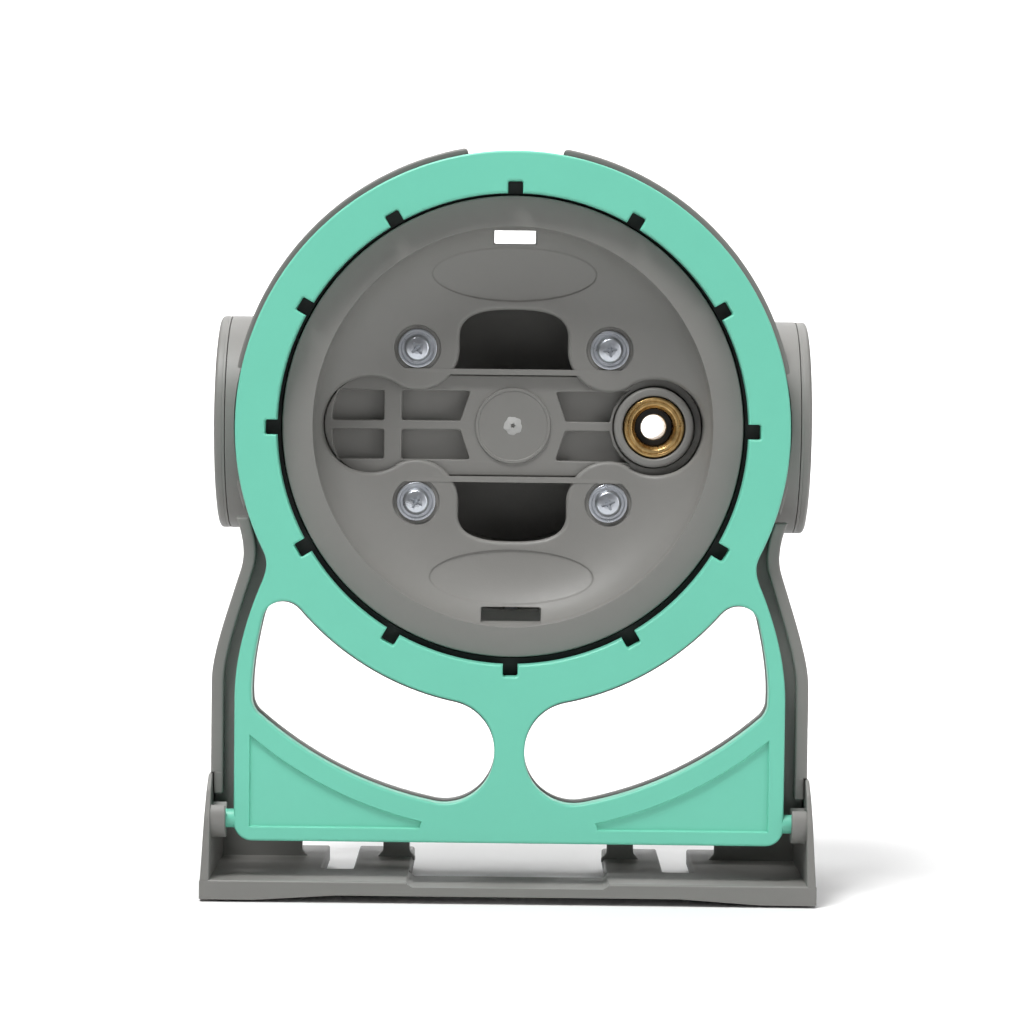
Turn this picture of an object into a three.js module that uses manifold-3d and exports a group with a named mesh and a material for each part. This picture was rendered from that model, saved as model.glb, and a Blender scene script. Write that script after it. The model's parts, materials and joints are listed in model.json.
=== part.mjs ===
// Compact free-standing garden hose reel: a grey stand on a slotted base, a mint front cover
// hinged on two pins, a dished drum with a brass hose connector, a rear crank with a spinning
// knob and a fold-back carry handle on two round side hubs.
// Millimetres, +Z up. The front faces -Y and the drum turns about Y. The pieces are drawn with
// Y measured from the drum's mid-plane, and the whole reel is then moved so that the origin is
// on the ground under the middle of its box.

import * as THREE from 'three';
import { mergeVertices } from 'three/addons/utils/BufferGeometryUtils.js';
import Module from 'manifold-3d';

const wasm = await Module();
wasm.setup();

// ---------------------------------------------------------------- driving dimensions

const GAP = 0.3; // clearance between pieces that touch
const MIDDLE_Y = 55.5; // middle of the whole reel, behind the drum's mid-plane
const DRUM_Z = 207.5; // height of the drum's axis
const COVER_Z = 206.6; // height of the cover ring's centre
const COVER_FRONT = -56; // front face of the cover
const COVER_BACK = -48; // back face of the cover

// Cover outline, measured from the cover ring's centre
const RING_R = 121; // outside of the cover ring
const COVER_BORE_R = 102.8;
const NOTCH_R = 107.9; // outer end of the bore's notches
const NOTCH_HALF = 3.25;
const NOTCH_COUNT = 12;
const SIDE_X = 120.2; // straight sides of the legs
const BOTTOM_Z = -181;
const CORNER_R = 8;
const PIN_R = 4.1; // hinge pins
const PIN_TIP_X = 127;
const PIN_Y = -52;
const PIN_Z = 35; // above the ground
const PANEL_DEPTH = 1; // recessed corner panels
const PANEL_ARC_R = 175.9;
const PANEL_SIDE_X = 113.4;
const PANEL_BOTTOM_Z = -174.8;
const PANEL_TIP_X = 39;

// Windows through the cover and both frames
const WINDOW_IN_R = 121;
const WINDOW_OUT_R = 166.6;
const STRUT_HALF = 6.6;
const STRUT_FILLET = 21.8;
const REAR_WINDOW_SCALE = 1.065; // the rear frame's windows are a little larger and lower
const REAR_WINDOW_DROP = 2.2;

// Stand frames
const WEB_IN = 35; // inner face of each frame's web, from the mid-plane
const WEB_OUT = 41;
const FLANGE_OUT = 47.7; // outer edge of the perimeter flange
const FLANGE_T = 5.5;
const FRAME_RING_R = 120;
const LEG_X = 131;
const FRAME_FOOT_Z = { front: 30, rear: 16 }; // lower edges of the webs, above the ground
const CHEEK_TOP = 54;
const SEAT_BORE_R = 104.8; // seat of the bearing rings
const BEARING_IN_R = 101.5;

// Guards and side hubs
const GUARD_OUT_R = 123.8;
const GUARD_IN_R = 120.3;
const GUARD_TOP_DEG = 79.3;
const GUARD_LOW_DEG = -17.5;
const HUB_R = 47.6;
const HUB_BOSS_X = 126; // outer face of the fixed hub boss
const HUB_FACE_X = 132.2; // outer face of the turning hub disc

// Base
const BASE_X = 133.6;
const BASE_FRONT = -65;
const BASE_REAR = 44;
const BASE_LOW = 1; // underside, carried by the rubber feet
const FLOOR_TOP = 9.6;
const CHEEK_IN = 130;
const CHEEK_REAR = 50;
const FOOT = { r: 9, x: 112, front: -48, rear: 30, height: 2.6 };
// Side screws pass through the cheeks into blocks on the frames
const SIDE_SCREW = { y: 30, z: 44, r: 2, headR: 4, headDepth: 2.4, tipX: 119 };

// Drum
const RIM_FACE = 48; // rim faces, from the mid-plane
const RIM_OUT_R = 100.8;
const RIM_IN_R = 87.5;
const DISH_FLOOR = 24; // dish floor's visible face
const SHELL = 2.5; // wall of the dish
const BOWL_START = 50; // radius where the flat floor begins to rise towards the rim
const FLANGE_R = 114; // hose-retaining flange
const FLANGE_Y = [31.3, 34.3];
const SCREW_X = 42.65;
const SCREW_Z = 34;
const BOSS_LOBE_R = 18.7;
const SIDE_LOBE_X = 63;
const SIDE_LOBE_R = 21.3;
const LOBE_TOP = 51.5;
const LOBE_HALF = 24;
const CHANNEL_HALF = 22.6; // half height of the channel behind the floor
const CHANNEL_FLOOR = -12;
const CHANNEL_WALL = 2.5;
const CORE_R = [53, 56];
const CORE_END = 21.2; // ends of the core, from the mid-plane
const OVAL = { z: 67, halfX: 36.7, halfZ: 12.2, depth: 0.8 };
const CONNECTOR_X = 62.6;
const SLOT_R = 83.3; // middle of the slots near the wall
const REAR_SLOT_R = [82.4, 90.4]; // ends of the rear dish's upper slot, which notches its rim

// Crank and carry handle
const CRANK_Y = [50.3, 58.3];
const CRANK_R = 88;
const KNOB_END = 98;
const HANDLE_R = 165; // pivot to grip axis
const HANDLE_REST_DEG = 12; // the arms' slope when folded back
const ARM_X = [127, HUB_FACE_X];
const GRIP_R = 10.5;
const SLEEVE_R = 13.5;

const LARGE_STEP = 9; // degrees between points on large arcs
const SMALL_STEP = 30;

// ---------------------------------------------------------------- outlines

const DEG = Math.PI / 180;

function point(x, y) {
  return new THREE.Vector2(x, y);
}

function arc(cx, cy, r, from, to, step = SMALL_STEP) {
  const n = Math.max(2, Math.ceil(Math.abs(to - from) / step));
  const points = [];
  for (let i = 0; i <= n; i += 1) {
    const a = (from + ((to - from) * i) / n) * DEG;
    points.push(point(cx + r * Math.cos(a), cy + r * Math.sin(a)));
  }
  return points;
}

function circle(cx, cy, r, step = SMALL_STEP) {
  return arc(cx, cy, r, 0, 360, step).slice(0, -1);
}

function bezier(p0, p1, p2, p3, n = 5) {
  const to2 = (p) => point(p[0], p[1]);
  return new THREE.CubicBezierCurve(to2(p0), to2(p1), to2(p2), to2(p3)).getPoints(n);
}

// Removes points that repeat their neighbour
function tidy(points) {
  return points.filter((p, i) => p.distanceTo(points[(i + 1) % points.length]) > 0.01);
}

function shift(points, dx, dy) {
  return points.map((p) => point(p.x + dx, p.y + dy));
}

function mirrored(points) {
  return points.map((p) => point(-p.x, p.y)).reverse();
}

// A whole outline from its right half, which runs from the bottom to the top
function symmetric(half) {
  return tidy([...half, ...mirrored(half)]);
}

function rectangle(x0, x1, y0, y1) {
  return [point(x0, y0), point(x1, y0), point(x1, y1), point(x0, y1)];
}

// ---------------------------------------------------------------- solids

function solid(geometry) {
  geometry.deleteAttribute('normal');
  geometry.deleteAttribute('uv');
  const merged = mergeVertices(geometry, 1e-4);
  const p = merged.attributes.position.array;
  const index = Array.from(merged.index.array);
  const triangles = [];
  let volume = 0;
  const a = new THREE.Vector3();
  const b = new THREE.Vector3();
  const c = new THREE.Vector3();
  for (let i = 0; i < index.length; i += 3) {
    const [u, v, w] = index.slice(i, i + 3);
    if (u === v || v === w || w === u) {
      continue;
    }
    triangles.push([u, v, w]);
    volume += a.fromArray(p, 3 * u).dot(b.fromArray(p, 3 * v).cross(c.fromArray(p, 3 * w)));
  }
  const turned = volume < 0 ? triangles.map(([u, v, w]) => [u, w, v]) : triangles;
  return new wasm.Manifold(
    new wasm.Mesh({
      numProp: 3,
      vertProperties: Float32Array.from(p),
      triVerts: Uint32Array.from(turned.flat()),
    }),
  );
}

function placed(geometry, matrix) {
  geometry.applyMatrix4(matrix);
  return solid(geometry);
}

function extruded(points, holes, depth) {
  const shape = new THREE.Shape(points);
  for (const hole of holes) {
    shape.holes.push(new THREE.Path(hole));
  }
  return new THREE.ExtrudeGeometry(shape, { depth, bevelEnabled: false });
}

// An outline in X and Z, as a plate between two values of Y
function plateY(points, y0, y1, holes = []) {
  const back = Math.max(y0, y1);
  const m = new THREE.Matrix4().makeRotationX(Math.PI / 2).setPosition(0, back, 0);
  return placed(extruded(points, holes, Math.abs(y1 - y0)), m);
}

// An outline in Y and Z, as a plate between two values of X
function plateX(points, x0, x1, holes = []) {
  const m = new THREE.Matrix4().set(0, 0, 1, Math.min(x0, x1), 1, 0, 0, 0, 0, 1, 0, 0, 0, 0, 0, 1);
  return placed(extruded(points, holes, Math.abs(x1 - x0)), m);
}

// An outline in X and Y, as a plate between two heights
function plateZ(points, z0, z1, holes = []) {
  return placed(extruded(points, holes, z1 - z0), new THREE.Matrix4().makeTranslation(0, 0, z0));
}

function box(x0, x1, y0, y1, z0, z1) {
  const g = new THREE.BoxGeometry(Math.abs(x1 - x0), Math.abs(y1 - y0), Math.abs(z1 - z0));
  return placed(g, new THREE.Matrix4().makeTranslation((x0 + x1) / 2, (y0 + y1) / 2, (z0 + z1) / 2));
}

// A profile of [radius, distance along the axis] pairs turned about an axis parallel to Y
function turnedY(profile, x, z, segments = 24) {
  const g = new THREE.LatheGeometry(profile.map(([r, y]) => point(r, y)), segments);
  return placed(g, new THREE.Matrix4().makeTranslation(x, 0, z));
}

// The same about an axis parallel to X
function turnedX(profile, y, z, segments = 24) {
  const g = new THREE.LatheGeometry(profile.map(([r, x]) => point(r, x)), segments);
  const m = new THREE.Matrix4().makeRotationZ(-Math.PI / 2).setPosition(0, y, z);
  return placed(g, m);
}

// The same about an axis parallel to Z
function turnedZ(profile, x, y, segments = 24) {
  const g = new THREE.LatheGeometry(profile.map(([r, z]) => point(r, z)), segments);
  return placed(g, new THREE.Matrix4().makeRotationX(Math.PI / 2).setPosition(x, y, 0));
}

function rodProfile(r, from, to) {
  return [[0, from], [r, from], [r, to], [0, to]];
}

function ringProfile(inner, outer, from, to) {
  return [[inner, from], [outer, from], [outer, to], [inner, to], [inner, from]];
}

function rodY(r, x, z, y0, y1, segments) {
  return turnedY(rodProfile(r, y0, y1), x, z, segments);
}

function rodX(r, y, z, x0, x1, segments) {
  return turnedX(rodProfile(r, x0, x1), y, z, segments);
}

function join(first, ...others) {
  return others.reduce((sum, other) => sum.add(other), first);
}

function cut(first, ...others) {
  return others.reduce((rest, other) => rest.subtract(other), first);
}

// ---------------------------------------------------------------- materials and nodes

function plain(color, roughness, metalness = 0) {
  return { color, roughness, metalness };
}

const FINISH = {
  mint: plain(0x6fc9b0, 0.45),
  grey: plain(0x7c7b77, 0.55),
  black: plain(0x2a2a29, 0.6),
  zinc: plain(0xb9bcc2, 0.3, 1),
  brass: plain(0xb58c4a, 0.3, 1),
  rubber: plain(0x2c2c2c, 0.85),
};

const reel = new THREE.Group();
reel.position.set(0, -MIDDLE_Y, 0);

function node(name, finish, body) {
  const mesh = body.getMesh();
  const geometry = new THREE.BufferGeometry();
  geometry.setAttribute('position', new THREE.BufferAttribute(mesh.vertProperties, mesh.numProp));
  geometry.setIndex(new THREE.BufferAttribute(mesh.triVerts, 1));
  geometry.computeVertexNormals();
  const material = new THREE.MeshStandardMaterial(FINISH[finish]);
  const result = new THREE.Mesh(geometry, material);
  result.name = name;
  reel.add(result);
}

const SIDES = { left: -1, right: 1 };

// ---------------------------------------------------------------- shared outlines

// Right half of the cover's outline, from the middle of the bottom edge to the top
function coverHalf() {
  const ringStart = -26.8; // degrees, where the leg leaves the ring
  return [
    point(0, BOTTOM_Z),
    ...arc(SIDE_X - CORNER_R, BOTTOM_Z + CORNER_R, CORNER_R, -90, 0),
    ...bezier([SIDE_X, -118], [SIDE_X, -98], [113.5, -79], [108.6, -67.5]),
    ...bezier([108.6, -67.5], [106.3, -61.8], [106.3, -58.3], [108, -54.6], 3),
    ...arc(0, 0, RING_R, ringStart, 90, LARGE_STEP),
  ];
}

// The bore of the cover ring, with its twelve square notches
function notchedBore() {
  const points = [];
  const pitch = 360 / NOTCH_COUNT;
  const half = Math.asin(NOTCH_HALF / COVER_BORE_R) / DEG;
  for (let i = 0; i < NOTCH_COUNT; i += 1) {
    const middle = i * pitch * DEG;
    for (const side of [-1, 1]) {
      const x = NOTCH_R * Math.cos(middle) - side * NOTCH_HALF * Math.sin(middle);
      const z = NOTCH_R * Math.sin(middle) + side * NOTCH_HALF * Math.cos(middle);
      points.push(point(x, z));
    }
    points.push(...arc(0, 0, COVER_BORE_R, i * pitch + half, (i + 1) * pitch - half, LARGE_STEP));
  }
  return points;
}

// Right window: a ring-shaped slot with a round end beside the middle strut
function windowRight() {
  const x = STRUT_HALF + STRUT_FILLET;
  const low = -Math.sqrt((WINDOW_OUT_R - STRUT_FILLET) ** 2 - x * x);
  const high = -Math.sqrt((WINDOW_IN_R + STRUT_FILLET) ** 2 - x * x);
  const lowDeg = Math.atan2(low, x) / DEG;
  const highDeg = Math.atan2(high, x) / DEG;
  const shoulder = [99, -85.3]; // centre of the upper outer corner
  const shoulderR = 9.6;
  const shoulderDeg = Math.atan2(shoulder[1], shoulder[0]) / DEG;
  const sideX = 112.9;
  const sideDeg = -Math.acos(sideX / WINDOW_OUT_R) / DEG;
  return tidy([
    ...arc(x, low, STRUT_FILLET, 180, 360 + lowDeg, 15),
    ...arc(0, 0, WINDOW_OUT_R, lowDeg, sideDeg, LARGE_STEP),
    ...bezier([sideX, -115], [sideX, -104], [110.2, -91], [108.3, -82.9], 4),
    ...arc(shoulder[0], shoulder[1], shoulderR, 14.5, 180 + shoulderDeg),
    ...arc(0, 0, WINDOW_IN_R, shoulderDeg, highDeg, LARGE_STEP),
    ...arc(x, high, STRUT_FILLET, 180 + highDeg, 180, 15),
  ]);
}

function windows(scale = 1, drop = 0) {
  const right = windowRight().map((p) => point(p.x * scale, p.y * scale - drop));
  return [right, mirrored(right)];
}

// Outer edge of the stand's right leg, from the cheek up to the side hub
function legEdge() {
  return [
    point(LEG_X, CHEEK_TOP + GAP - COVER_Z),
    ...bezier([LEG_X, -112], [LEG_X, -100], [124.5, -82], [118.3, -62]),
    ...bezier([118.3, -62], [116.8, -57], [117, -50], [120.6, -40], 3),
  ];
}

// ---------------------------------------------------------------- front cover

function frontCover() {
  const outline = shift(symmetric(coverHalf()), 0, COVER_Z);
  const holes = [notchedBore(), ...windows()].map((h) => shift(h, 0, COVER_Z));
  const panelTop = -Math.acos(PANEL_SIDE_X / PANEL_ARC_R) / DEG;
  const tipDeg = -Math.acos((PANEL_TIP_X - 1) / PANEL_ARC_R) / DEG;
  const panel = [
    point(PANEL_TIP_X, PANEL_BOTTOM_Z),
    point(PANEL_SIDE_X, PANEL_BOTTOM_Z),
    ...arc(0, 0, PANEL_ARC_R, panelTop, tipDeg, LARGE_STEP),
  ];
  let body = plateY(outline, COVER_FRONT, COVER_BACK, holes);
  for (const side of Object.values(SIDES)) {
    const pin = rodX(PIN_R, PIN_Y, PIN_Z, side * (SIDE_X - 6), side * PIN_TIP_X, 16);
    const handed = side > 0 ? panel : mirrored(panel);
    const recess = plateY(shift(handed, 0, COVER_Z), COVER_FRONT - 1, COVER_FRONT + PANEL_DEPTH);
    body = cut(join(body, pin), recess);
  }
  node('front_cover', 'mint', body);
}

// ---------------------------------------------------------------- stand

function standFrame(end, facing) {
  const y = (distance) => facing * distance;
  const edge = legEdge();
  const foot = FRAME_FOOT_Z[end] - COVER_Z;
  const openings = end === 'rear' ? windows(REAR_WINDOW_SCALE, REAR_WINDOW_DROP) : windows();
  const half = [
    point(0, foot),
    point(CHEEK_IN - GAP, foot),
    point(CHEEK_IN - GAP, CHEEK_TOP + GAP - COVER_Z),
    ...edge,
    point(0, -40),
  ];
  const inner = edge.map((p) => point(p.x - FLANGE_T, p.y)).reverse();
  const flange = tidy([...edge, ...inner]);
  const ring = turnedY(rodProfile(FRAME_RING_R, y(WEB_IN), y(WEB_OUT)), 0, DRUM_Z, 40);
  let body = join(plateY(shift(symmetric(half), 0, COVER_Z), y(WEB_IN), y(WEB_OUT)), ring);
  for (const opening of openings) {
    body = cut(body, plateY(shift(opening, 0, COVER_Z), y(WEB_IN - 1), y(WEB_OUT + 1)));
  }
  body = cut(body, rodY(SEAT_BORE_R, 0, DRUM_Z, y(WEB_IN - 1), y(WEB_OUT + 1), 40));
  for (const side of Object.values(SIDES)) {
    const handed = side > 0 ? flange : mirrored(flange);
    const outer = side * (CHEEK_IN - GAP);
    const block = box(side * 116, outer, y(24), y(WEB_IN + 1), 38, 50);
    const hole = rodX(SIDE_SCREW.r + 0.2, y(SIDE_SCREW.y), SIDE_SCREW.z, side * 118.5, outer + side, 8);
    body = join(body, plateY(shift(handed, 0, COVER_Z), y(WEB_IN), y(FLANGE_OUT)), block);
    body = cut(body, hole);
  }
  node(`frame_${end}`, 'grey', body);
}

function bearing(name, facing) {
  const profile = ringProfile(
    BEARING_IN_R, SEAT_BORE_R - GAP, facing * (WEB_IN + 0.5), facing * (WEB_OUT - 0.5));
  node(name, 'black', turnedY(profile, 0, DRUM_Z, 40));
}

// A round shell beside the drum that carries the fixed boss of a side hub
function guard(name, side) {
  const tipR = (GUARD_OUT_R - GUARD_IN_R) / 2;
  const middleR = GUARD_IN_R + tipR;
  const tip = point(middleR * Math.cos(GUARD_TOP_DEG * DEG), middleR * Math.sin(GUARD_TOP_DEG * DEG));
  const shell = tidy([
    ...arc(0, 0, GUARD_OUT_R, GUARD_LOW_DEG, GUARD_TOP_DEG, LARGE_STEP),
    ...arc(tip.x, tip.y, tipR, GUARD_TOP_DEG, GUARD_TOP_DEG + 180, 45),
    ...arc(0, 0, GUARD_IN_R, GUARD_TOP_DEG, GUARD_LOW_DEG, LARGE_STEP),
  ]);
  const handed = side > 0 ? shell : mirrored(shell);
  const boss = rodX(HUB_R, 0, DRUM_Z, side * 108, side * HUB_BOSS_X, 28);
  const clear = rodY((GUARD_IN_R + GUARD_OUT_R) / 2, 0, DRUM_Z, -60, 60, 40);
  const bore = rodX(5.4, 0, DRUM_Z, side * 100, side * (HUB_BOSS_X + 1), 12);
  const body = join(plateY(shift(handed, 0, DRUM_Z), -WEB_OUT, WEB_OUT), cut(boss, clear));
  node(name, 'grey', cut(body, bore));
}

// ---------------------------------------------------------------- base

function basePlate() {
  const floor = tidy([
    point(-BASE_X, BASE_FRONT),
    point(BASE_X, BASE_FRONT),
    point(BASE_X, BASE_REAR),
    point(83, BASE_REAR),
    point(83, -28),
    point(69, -28),
    point(69, BASE_REAR),
    point(43.5, BASE_REAR),
    point(43.5, -31),
    point(-43.5, -31),
    point(-43.5, BASE_REAR),
    point(-69, BASE_REAR),
    point(-69, -28),
    point(-83, -28),
    point(-83, BASE_REAR),
    point(-BASE_X, BASE_REAR),
  ]);
  const relief = [point(-112, BASE_LOW - 1), point(112, BASE_LOW - 1), point(75, 3.4), point(-75, 3.4)];
  const cheek = [
    point(BASE_FRONT, BASE_LOW),
    point(CHEEK_REAR, BASE_LOW),
    point(CHEEK_REAR, CHEEK_TOP),
    point(-50, CHEEK_TOP),
    point(-56, 48),
    point(-61.5, 36),
    point(BASE_FRONT, FLOOR_TOP),
  ];
  let body = plateZ(floor, BASE_LOW, FLOOR_TOP);
  body = cut(body, box(-43.6, 43.6, -70, -30, 7.2, 12));
  for (const side of Object.values(SIDES)) {
    body = join(
      body,
      plateX(cheek, side * CHEEK_IN, side * BASE_X),
      box(side * 45, side * 57, 10, 14, 8, 28),
      box(side * 94, side * (CHEEK_IN + 1), 10, 14, 8, 28),
    );
  }
  body = join(body, box(-CHEEK_IN - 1, CHEEK_IN + 1, 10, 14, 26, 34));
  body = cut(body, plateY(relief, BASE_FRONT - 5, CHEEK_REAR + 5));
  for (const side of Object.values(SIDES)) {
    const seat = arc(PIN_Y, PIN_Z, 9, 170, 460, 22.5);
    const bore = arc(PIN_Y, PIN_Z, PIN_R + GAP, 460, 170, 22.5);
    body = join(body, plateX([...seat, ...bore], side * 123, side * (CHEEK_IN + 1)));
    for (const y of [-SIDE_SCREW.y, SIDE_SCREW.y]) {
      const sink = [
        [0, side * (CHEEK_IN - 1)],
        [SIDE_SCREW.r + 0.6, side * (CHEEK_IN - 1)],
        [SIDE_SCREW.r + 0.6, side * (BASE_X - SIDE_SCREW.headDepth - 0.2)],
        [SIDE_SCREW.headR + 0.7, side * (BASE_X - 0.2)],
        [SIDE_SCREW.headR + 0.7, side * (BASE_X + 1)],
        [0, side * (BASE_X + 1)],
      ];
      body = cut(body, turnedX(sink, y, SIDE_SCREW.z, 12));
    }
    for (const y of [FOOT.front, FOOT.rear]) {
      const pocket = rodProfile(FOOT.r + GAP, BASE_LOW - 1, FOOT.height + GAP);
      body = cut(body, turnedZ(pocket, side * FOOT.x, y, 14));
    }
  }
  node('base_plate', 'grey', body);
}

function feetAndSideScrews() {
  for (const [sideName, side] of Object.entries(SIDES)) {
    for (const [endName, y] of Object.entries({ front: FOOT.front, rear: FOOT.rear })) {
      const profile = rodProfile(FOOT.r, 0, FOOT.height);
      node(`foot_${endName}_${sideName}`, 'rubber', turnedZ(profile, side * FOOT.x, y, 14));
    }
    for (const [endName, y] of Object.entries({ front: -SIDE_SCREW.y, rear: SIDE_SCREW.y })) {
      const face = BASE_X - 0.5;
      const profile = [
        [0, side * SIDE_SCREW.tipX],
        [SIDE_SCREW.r, side * SIDE_SCREW.tipX],
        [SIDE_SCREW.r, side * (face - SIDE_SCREW.headDepth)],
        [SIDE_SCREW.headR, side * face],
        [0, side * face],
      ];
      node(`side_screw_${endName}_${sideName}`, 'zinc', turnedX(profile, y, SIDE_SCREW.z, 8));
    }
  }
}

// ---------------------------------------------------------------- drum

// The four-lobed opening in the front dish, from the drum's axis
function lobedOpening() {
  const reach = Math.atan2(-SCREW_Z, SIDE_LOBE_X - SCREW_X) / DEG;
  const quarter = [
    ...arc(SIDE_LOBE_X, 0, SIDE_LOBE_R, 0, 180 + reach, 15),
    ...arc(SCREW_X, SCREW_Z, BOSS_LOBE_R, reach, -180, 15),
    ...arc(LOBE_HALF - 9.5, 40, 9.5, 0, 70),
    point(0, LOBE_TOP),
  ];
  const upper = [...quarter, ...mirrored(quarter)];
  const lower = upper.map((p) => point(p.x, -p.y)).reverse();
  return tidy([...upper, ...lower]);
}

// A slot with round ends, wide in X
function roundedSlot(halfWidth, halfHeight) {
  const x = halfWidth - halfHeight;
  return [...arc(x, 0, halfHeight, -90, 90), ...arc(-x, 0, halfHeight, 90, 270)];
}

// The dish's surface from its flat floor to the rim, set back by a depth, as a profile
function bowl(facing, depth, steps = 4) {
  const rise = RIM_FACE - DISH_FLOOR + depth;
  const reach = RIM_IN_R - BOWL_START + depth;
  const points = [];
  for (let i = 0; i <= steps; i += 1) {
    const a = (90 * DEG * i) / steps;
    points.push([BOWL_START + reach * Math.sin(a), facing * (RIM_FACE - rise * Math.cos(a))]);
  }
  return points;
}

// Everything behind the dish's surface, up to the drum's mid-plane
function behindDish(facing, depth = 0) {
  const curve = bowl(facing, depth);
  const edge = curve[curve.length - 1][0];
  return turnedY([[0, curve[0][1]], ...curve, [edge, 0], [0, 0]], 0, DRUM_Z, 40);
}

// A dished end of the drum: floor, bowl, rim and the flange that keeps the hose on
function dish(facing) {
  const y = (distance) => facing * distance;
  const rim = [
    [RIM_IN_R, y(RIM_FACE)],
    [RIM_OUT_R, y(RIM_FACE)],
    [RIM_OUT_R, y(FLANGE_Y[1])],
    [FLANGE_R, y(FLANGE_Y[1])],
    [FLANGE_R, y(FLANGE_Y[0])],
    [RIM_IN_R - 6, y(FLANGE_Y[0])],
    [RIM_IN_R - 6, y(0)],
    [0, y(0)],
  ];
  const curve = bowl(facing, 0);
  const whole = turnedY([[0, curve[0][1]], ...curve.slice(0, -1), ...rim], 0, DRUM_Z, 40);
  const room = turnedY(rodProfile(RIM_IN_R - 5.5, y(-1), y(FLANGE_Y[0])), 0, DRUM_Z, 40);
  return cut(whole, behindDish(facing, SHELL).intersect(room));
}

// Two slots near the wall and two shallow oval recesses in a dish
function floorDetails(body, facing) {
  const through = [facing * (DISH_FLOOR - 5), facing * (RIM_FACE + 1)];
  const upper = facing < 0 ? [SLOT_R - 3.3, SLOT_R + 3.3] : REAR_SLOT_R;
  const top = rectangle(-9.5, 9.5, DRUM_Z + upper[0], DRUM_Z + upper[1]);
  const bottom = rectangle(-13.2, 13.2, DRUM_Z - SLOT_R - 3.3, DRUM_Z - SLOT_R + 3.3);
  const deeper = behindDish(facing, OVAL.depth);
  let result = cut(body, plateY(top, ...through), plateY(bottom, ...through));
  for (const end of [-1, 1]) {
    const oval = circle(0, 0, 1, 20).map(
      (p) => point(OVAL.halfX * p.x, DRUM_Z + end * OVAL.z + OVAL.halfZ * p.y));
    result = cut(result, cut(plateY(oval, ...through), deeper));
  }
  return result;
}

function atScrews(action) {
  let count = 0;
  for (const z of [SCREW_Z, -SCREW_Z]) {
    for (const x of [-SCREW_X, SCREW_X]) {
      count += 1;
      action(x, DRUM_Z + z, count);
    }
  }
}

function channel(grow) {
  return roundedSlot(84.3 + grow, CHANNEL_HALF + grow);
}

function drumFront() {
  const wallBack = CHANNEL_FLOOR + CHANNEL_WALL;
  const floorBack = -DISH_FLOOR + SHELL;
  const front = -RIM_FACE - 1;
  const outside = plateY(shift(channel(CHANNEL_WALL), 0, DRUM_Z), front, wallBack);
  const inside = plateY(shift(channel(0), 0, DRUM_Z), front, CHANNEL_FLOOR);
  let body = join(dish(-1), outside.intersect(behindDish(-1, SHELL / 2)));
  body = cut(body, inside.intersect(behindDish(-1, SHELL)));
  body = cut(body, plateY(shift(lobedOpening(), 0, DRUM_Z), front, floorBack + 0.1));
  // The top and bottom lobes open past the channel into the hollow core
  for (const end of [-1, 1]) {
    const inner = DRUM_Z + end * (CHANNEL_HALF + CHANNEL_WALL);
    const outer = DRUM_Z + end * 40;
    const lobe = rectangle(-LOBE_HALF, LOBE_HALF, Math.min(inner, outer), Math.max(inner, outer));
    body = cut(body, plateY(lobe, -DISH_FLOOR - 1, wallBack + 1));
  }
  body = cut(body, rodY(11, CONNECTOR_X, DRUM_Z, CHANNEL_FLOOR - 1, wallBack + 1, 24));
  atScrews((x, z) => {
    body = cut(body, rodY(10.2, x, z, front, -DISH_FLOOR + 1.2, 14));
    body = cut(body, rodY(2.6, x, z, front, floorBack + 1, 8));
  });
  node('drum_front', 'grey', floorDetails(body, -1));
}

function drumRear() {
  let body = join(dish(1), rodY(16, 0, DRUM_Z, DISH_FLOOR - 1, CRANK_Y[0] - GAP, 24));
  body = cut(body, rodY(3.3, 0, DRUM_Z, 34, CRANK_Y[1], 16));
  body = cut(body, rodY(9, CONNECTOR_X, DRUM_Z, DISH_FLOOR - SHELL - 1, RIM_FACE, 24));
  node('drum_rear', 'grey', floorDetails(body, 1));
}

function drumCore() {
  const end = CORE_END;
  let body = turnedY(ringProfile(CORE_R[0], CORE_R[1], -end, end), 0, DRUM_Z, 32);
  atScrews((x, z) => {
    body = join(body, rodY(8, x, z, -end, end, 10));
  });
  const room = CHANNEL_WALL + GAP;
  body = cut(body, plateY(shift(channel(room), 0, DRUM_Z), -end - 1, CHANNEL_FLOOR + room));
  atScrews((x, z) => {
    body = cut(body, rodY(2.4, x, z, -end - 1, -4, 8));
  });
  // A bay in the wall leaves room for the connector's nut and hose tail
  body = cut(body, rodY(17, CONNECTOR_X, DRUM_Z, -end - 1, end + 1, 20));
  node('drum_core', 'grey', body);
}

function hubBridge() {
  const front = -20.7;
  const back = CHANNEL_FLOOR - GAP;
  const outline = roundedSlot(83.9, CHANNEL_HALF - GAP);
  const pocket = (points) => plateY(shift(points, 0, DRUM_Z), front - 1, back - 1.8);
  let body = plateY(shift(outline, 0, DRUM_Z), front, back);
  for (const end of [-1, 1]) {
    const low = 2;
    const high = 15.5;
    const left = [point(-48, low), point(-24, low), point(-19, high), point(-48, high)];
    const right = [point(24, low), point(46, low), point(46, high), point(19, high)];
    const farLeft = rectangle(-81, -57, low, 14);
    for (const points of [left, right, farLeft]) {
      const handed = end > 0 ? points : points.map((p) => point(p.x, -p.y)).reverse();
      body = cut(body, pocket(handed));
    }
  }
  body = join(body, rodY(16.75, 0, DRUM_Z, front - 0.6, front + 2, 32));
  body = cut(body, rodY(18.2, CONNECTOR_X, DRUM_Z, front - 1, back + 1, 32));
  node('hub_bridge', 'grey', body);
}

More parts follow.
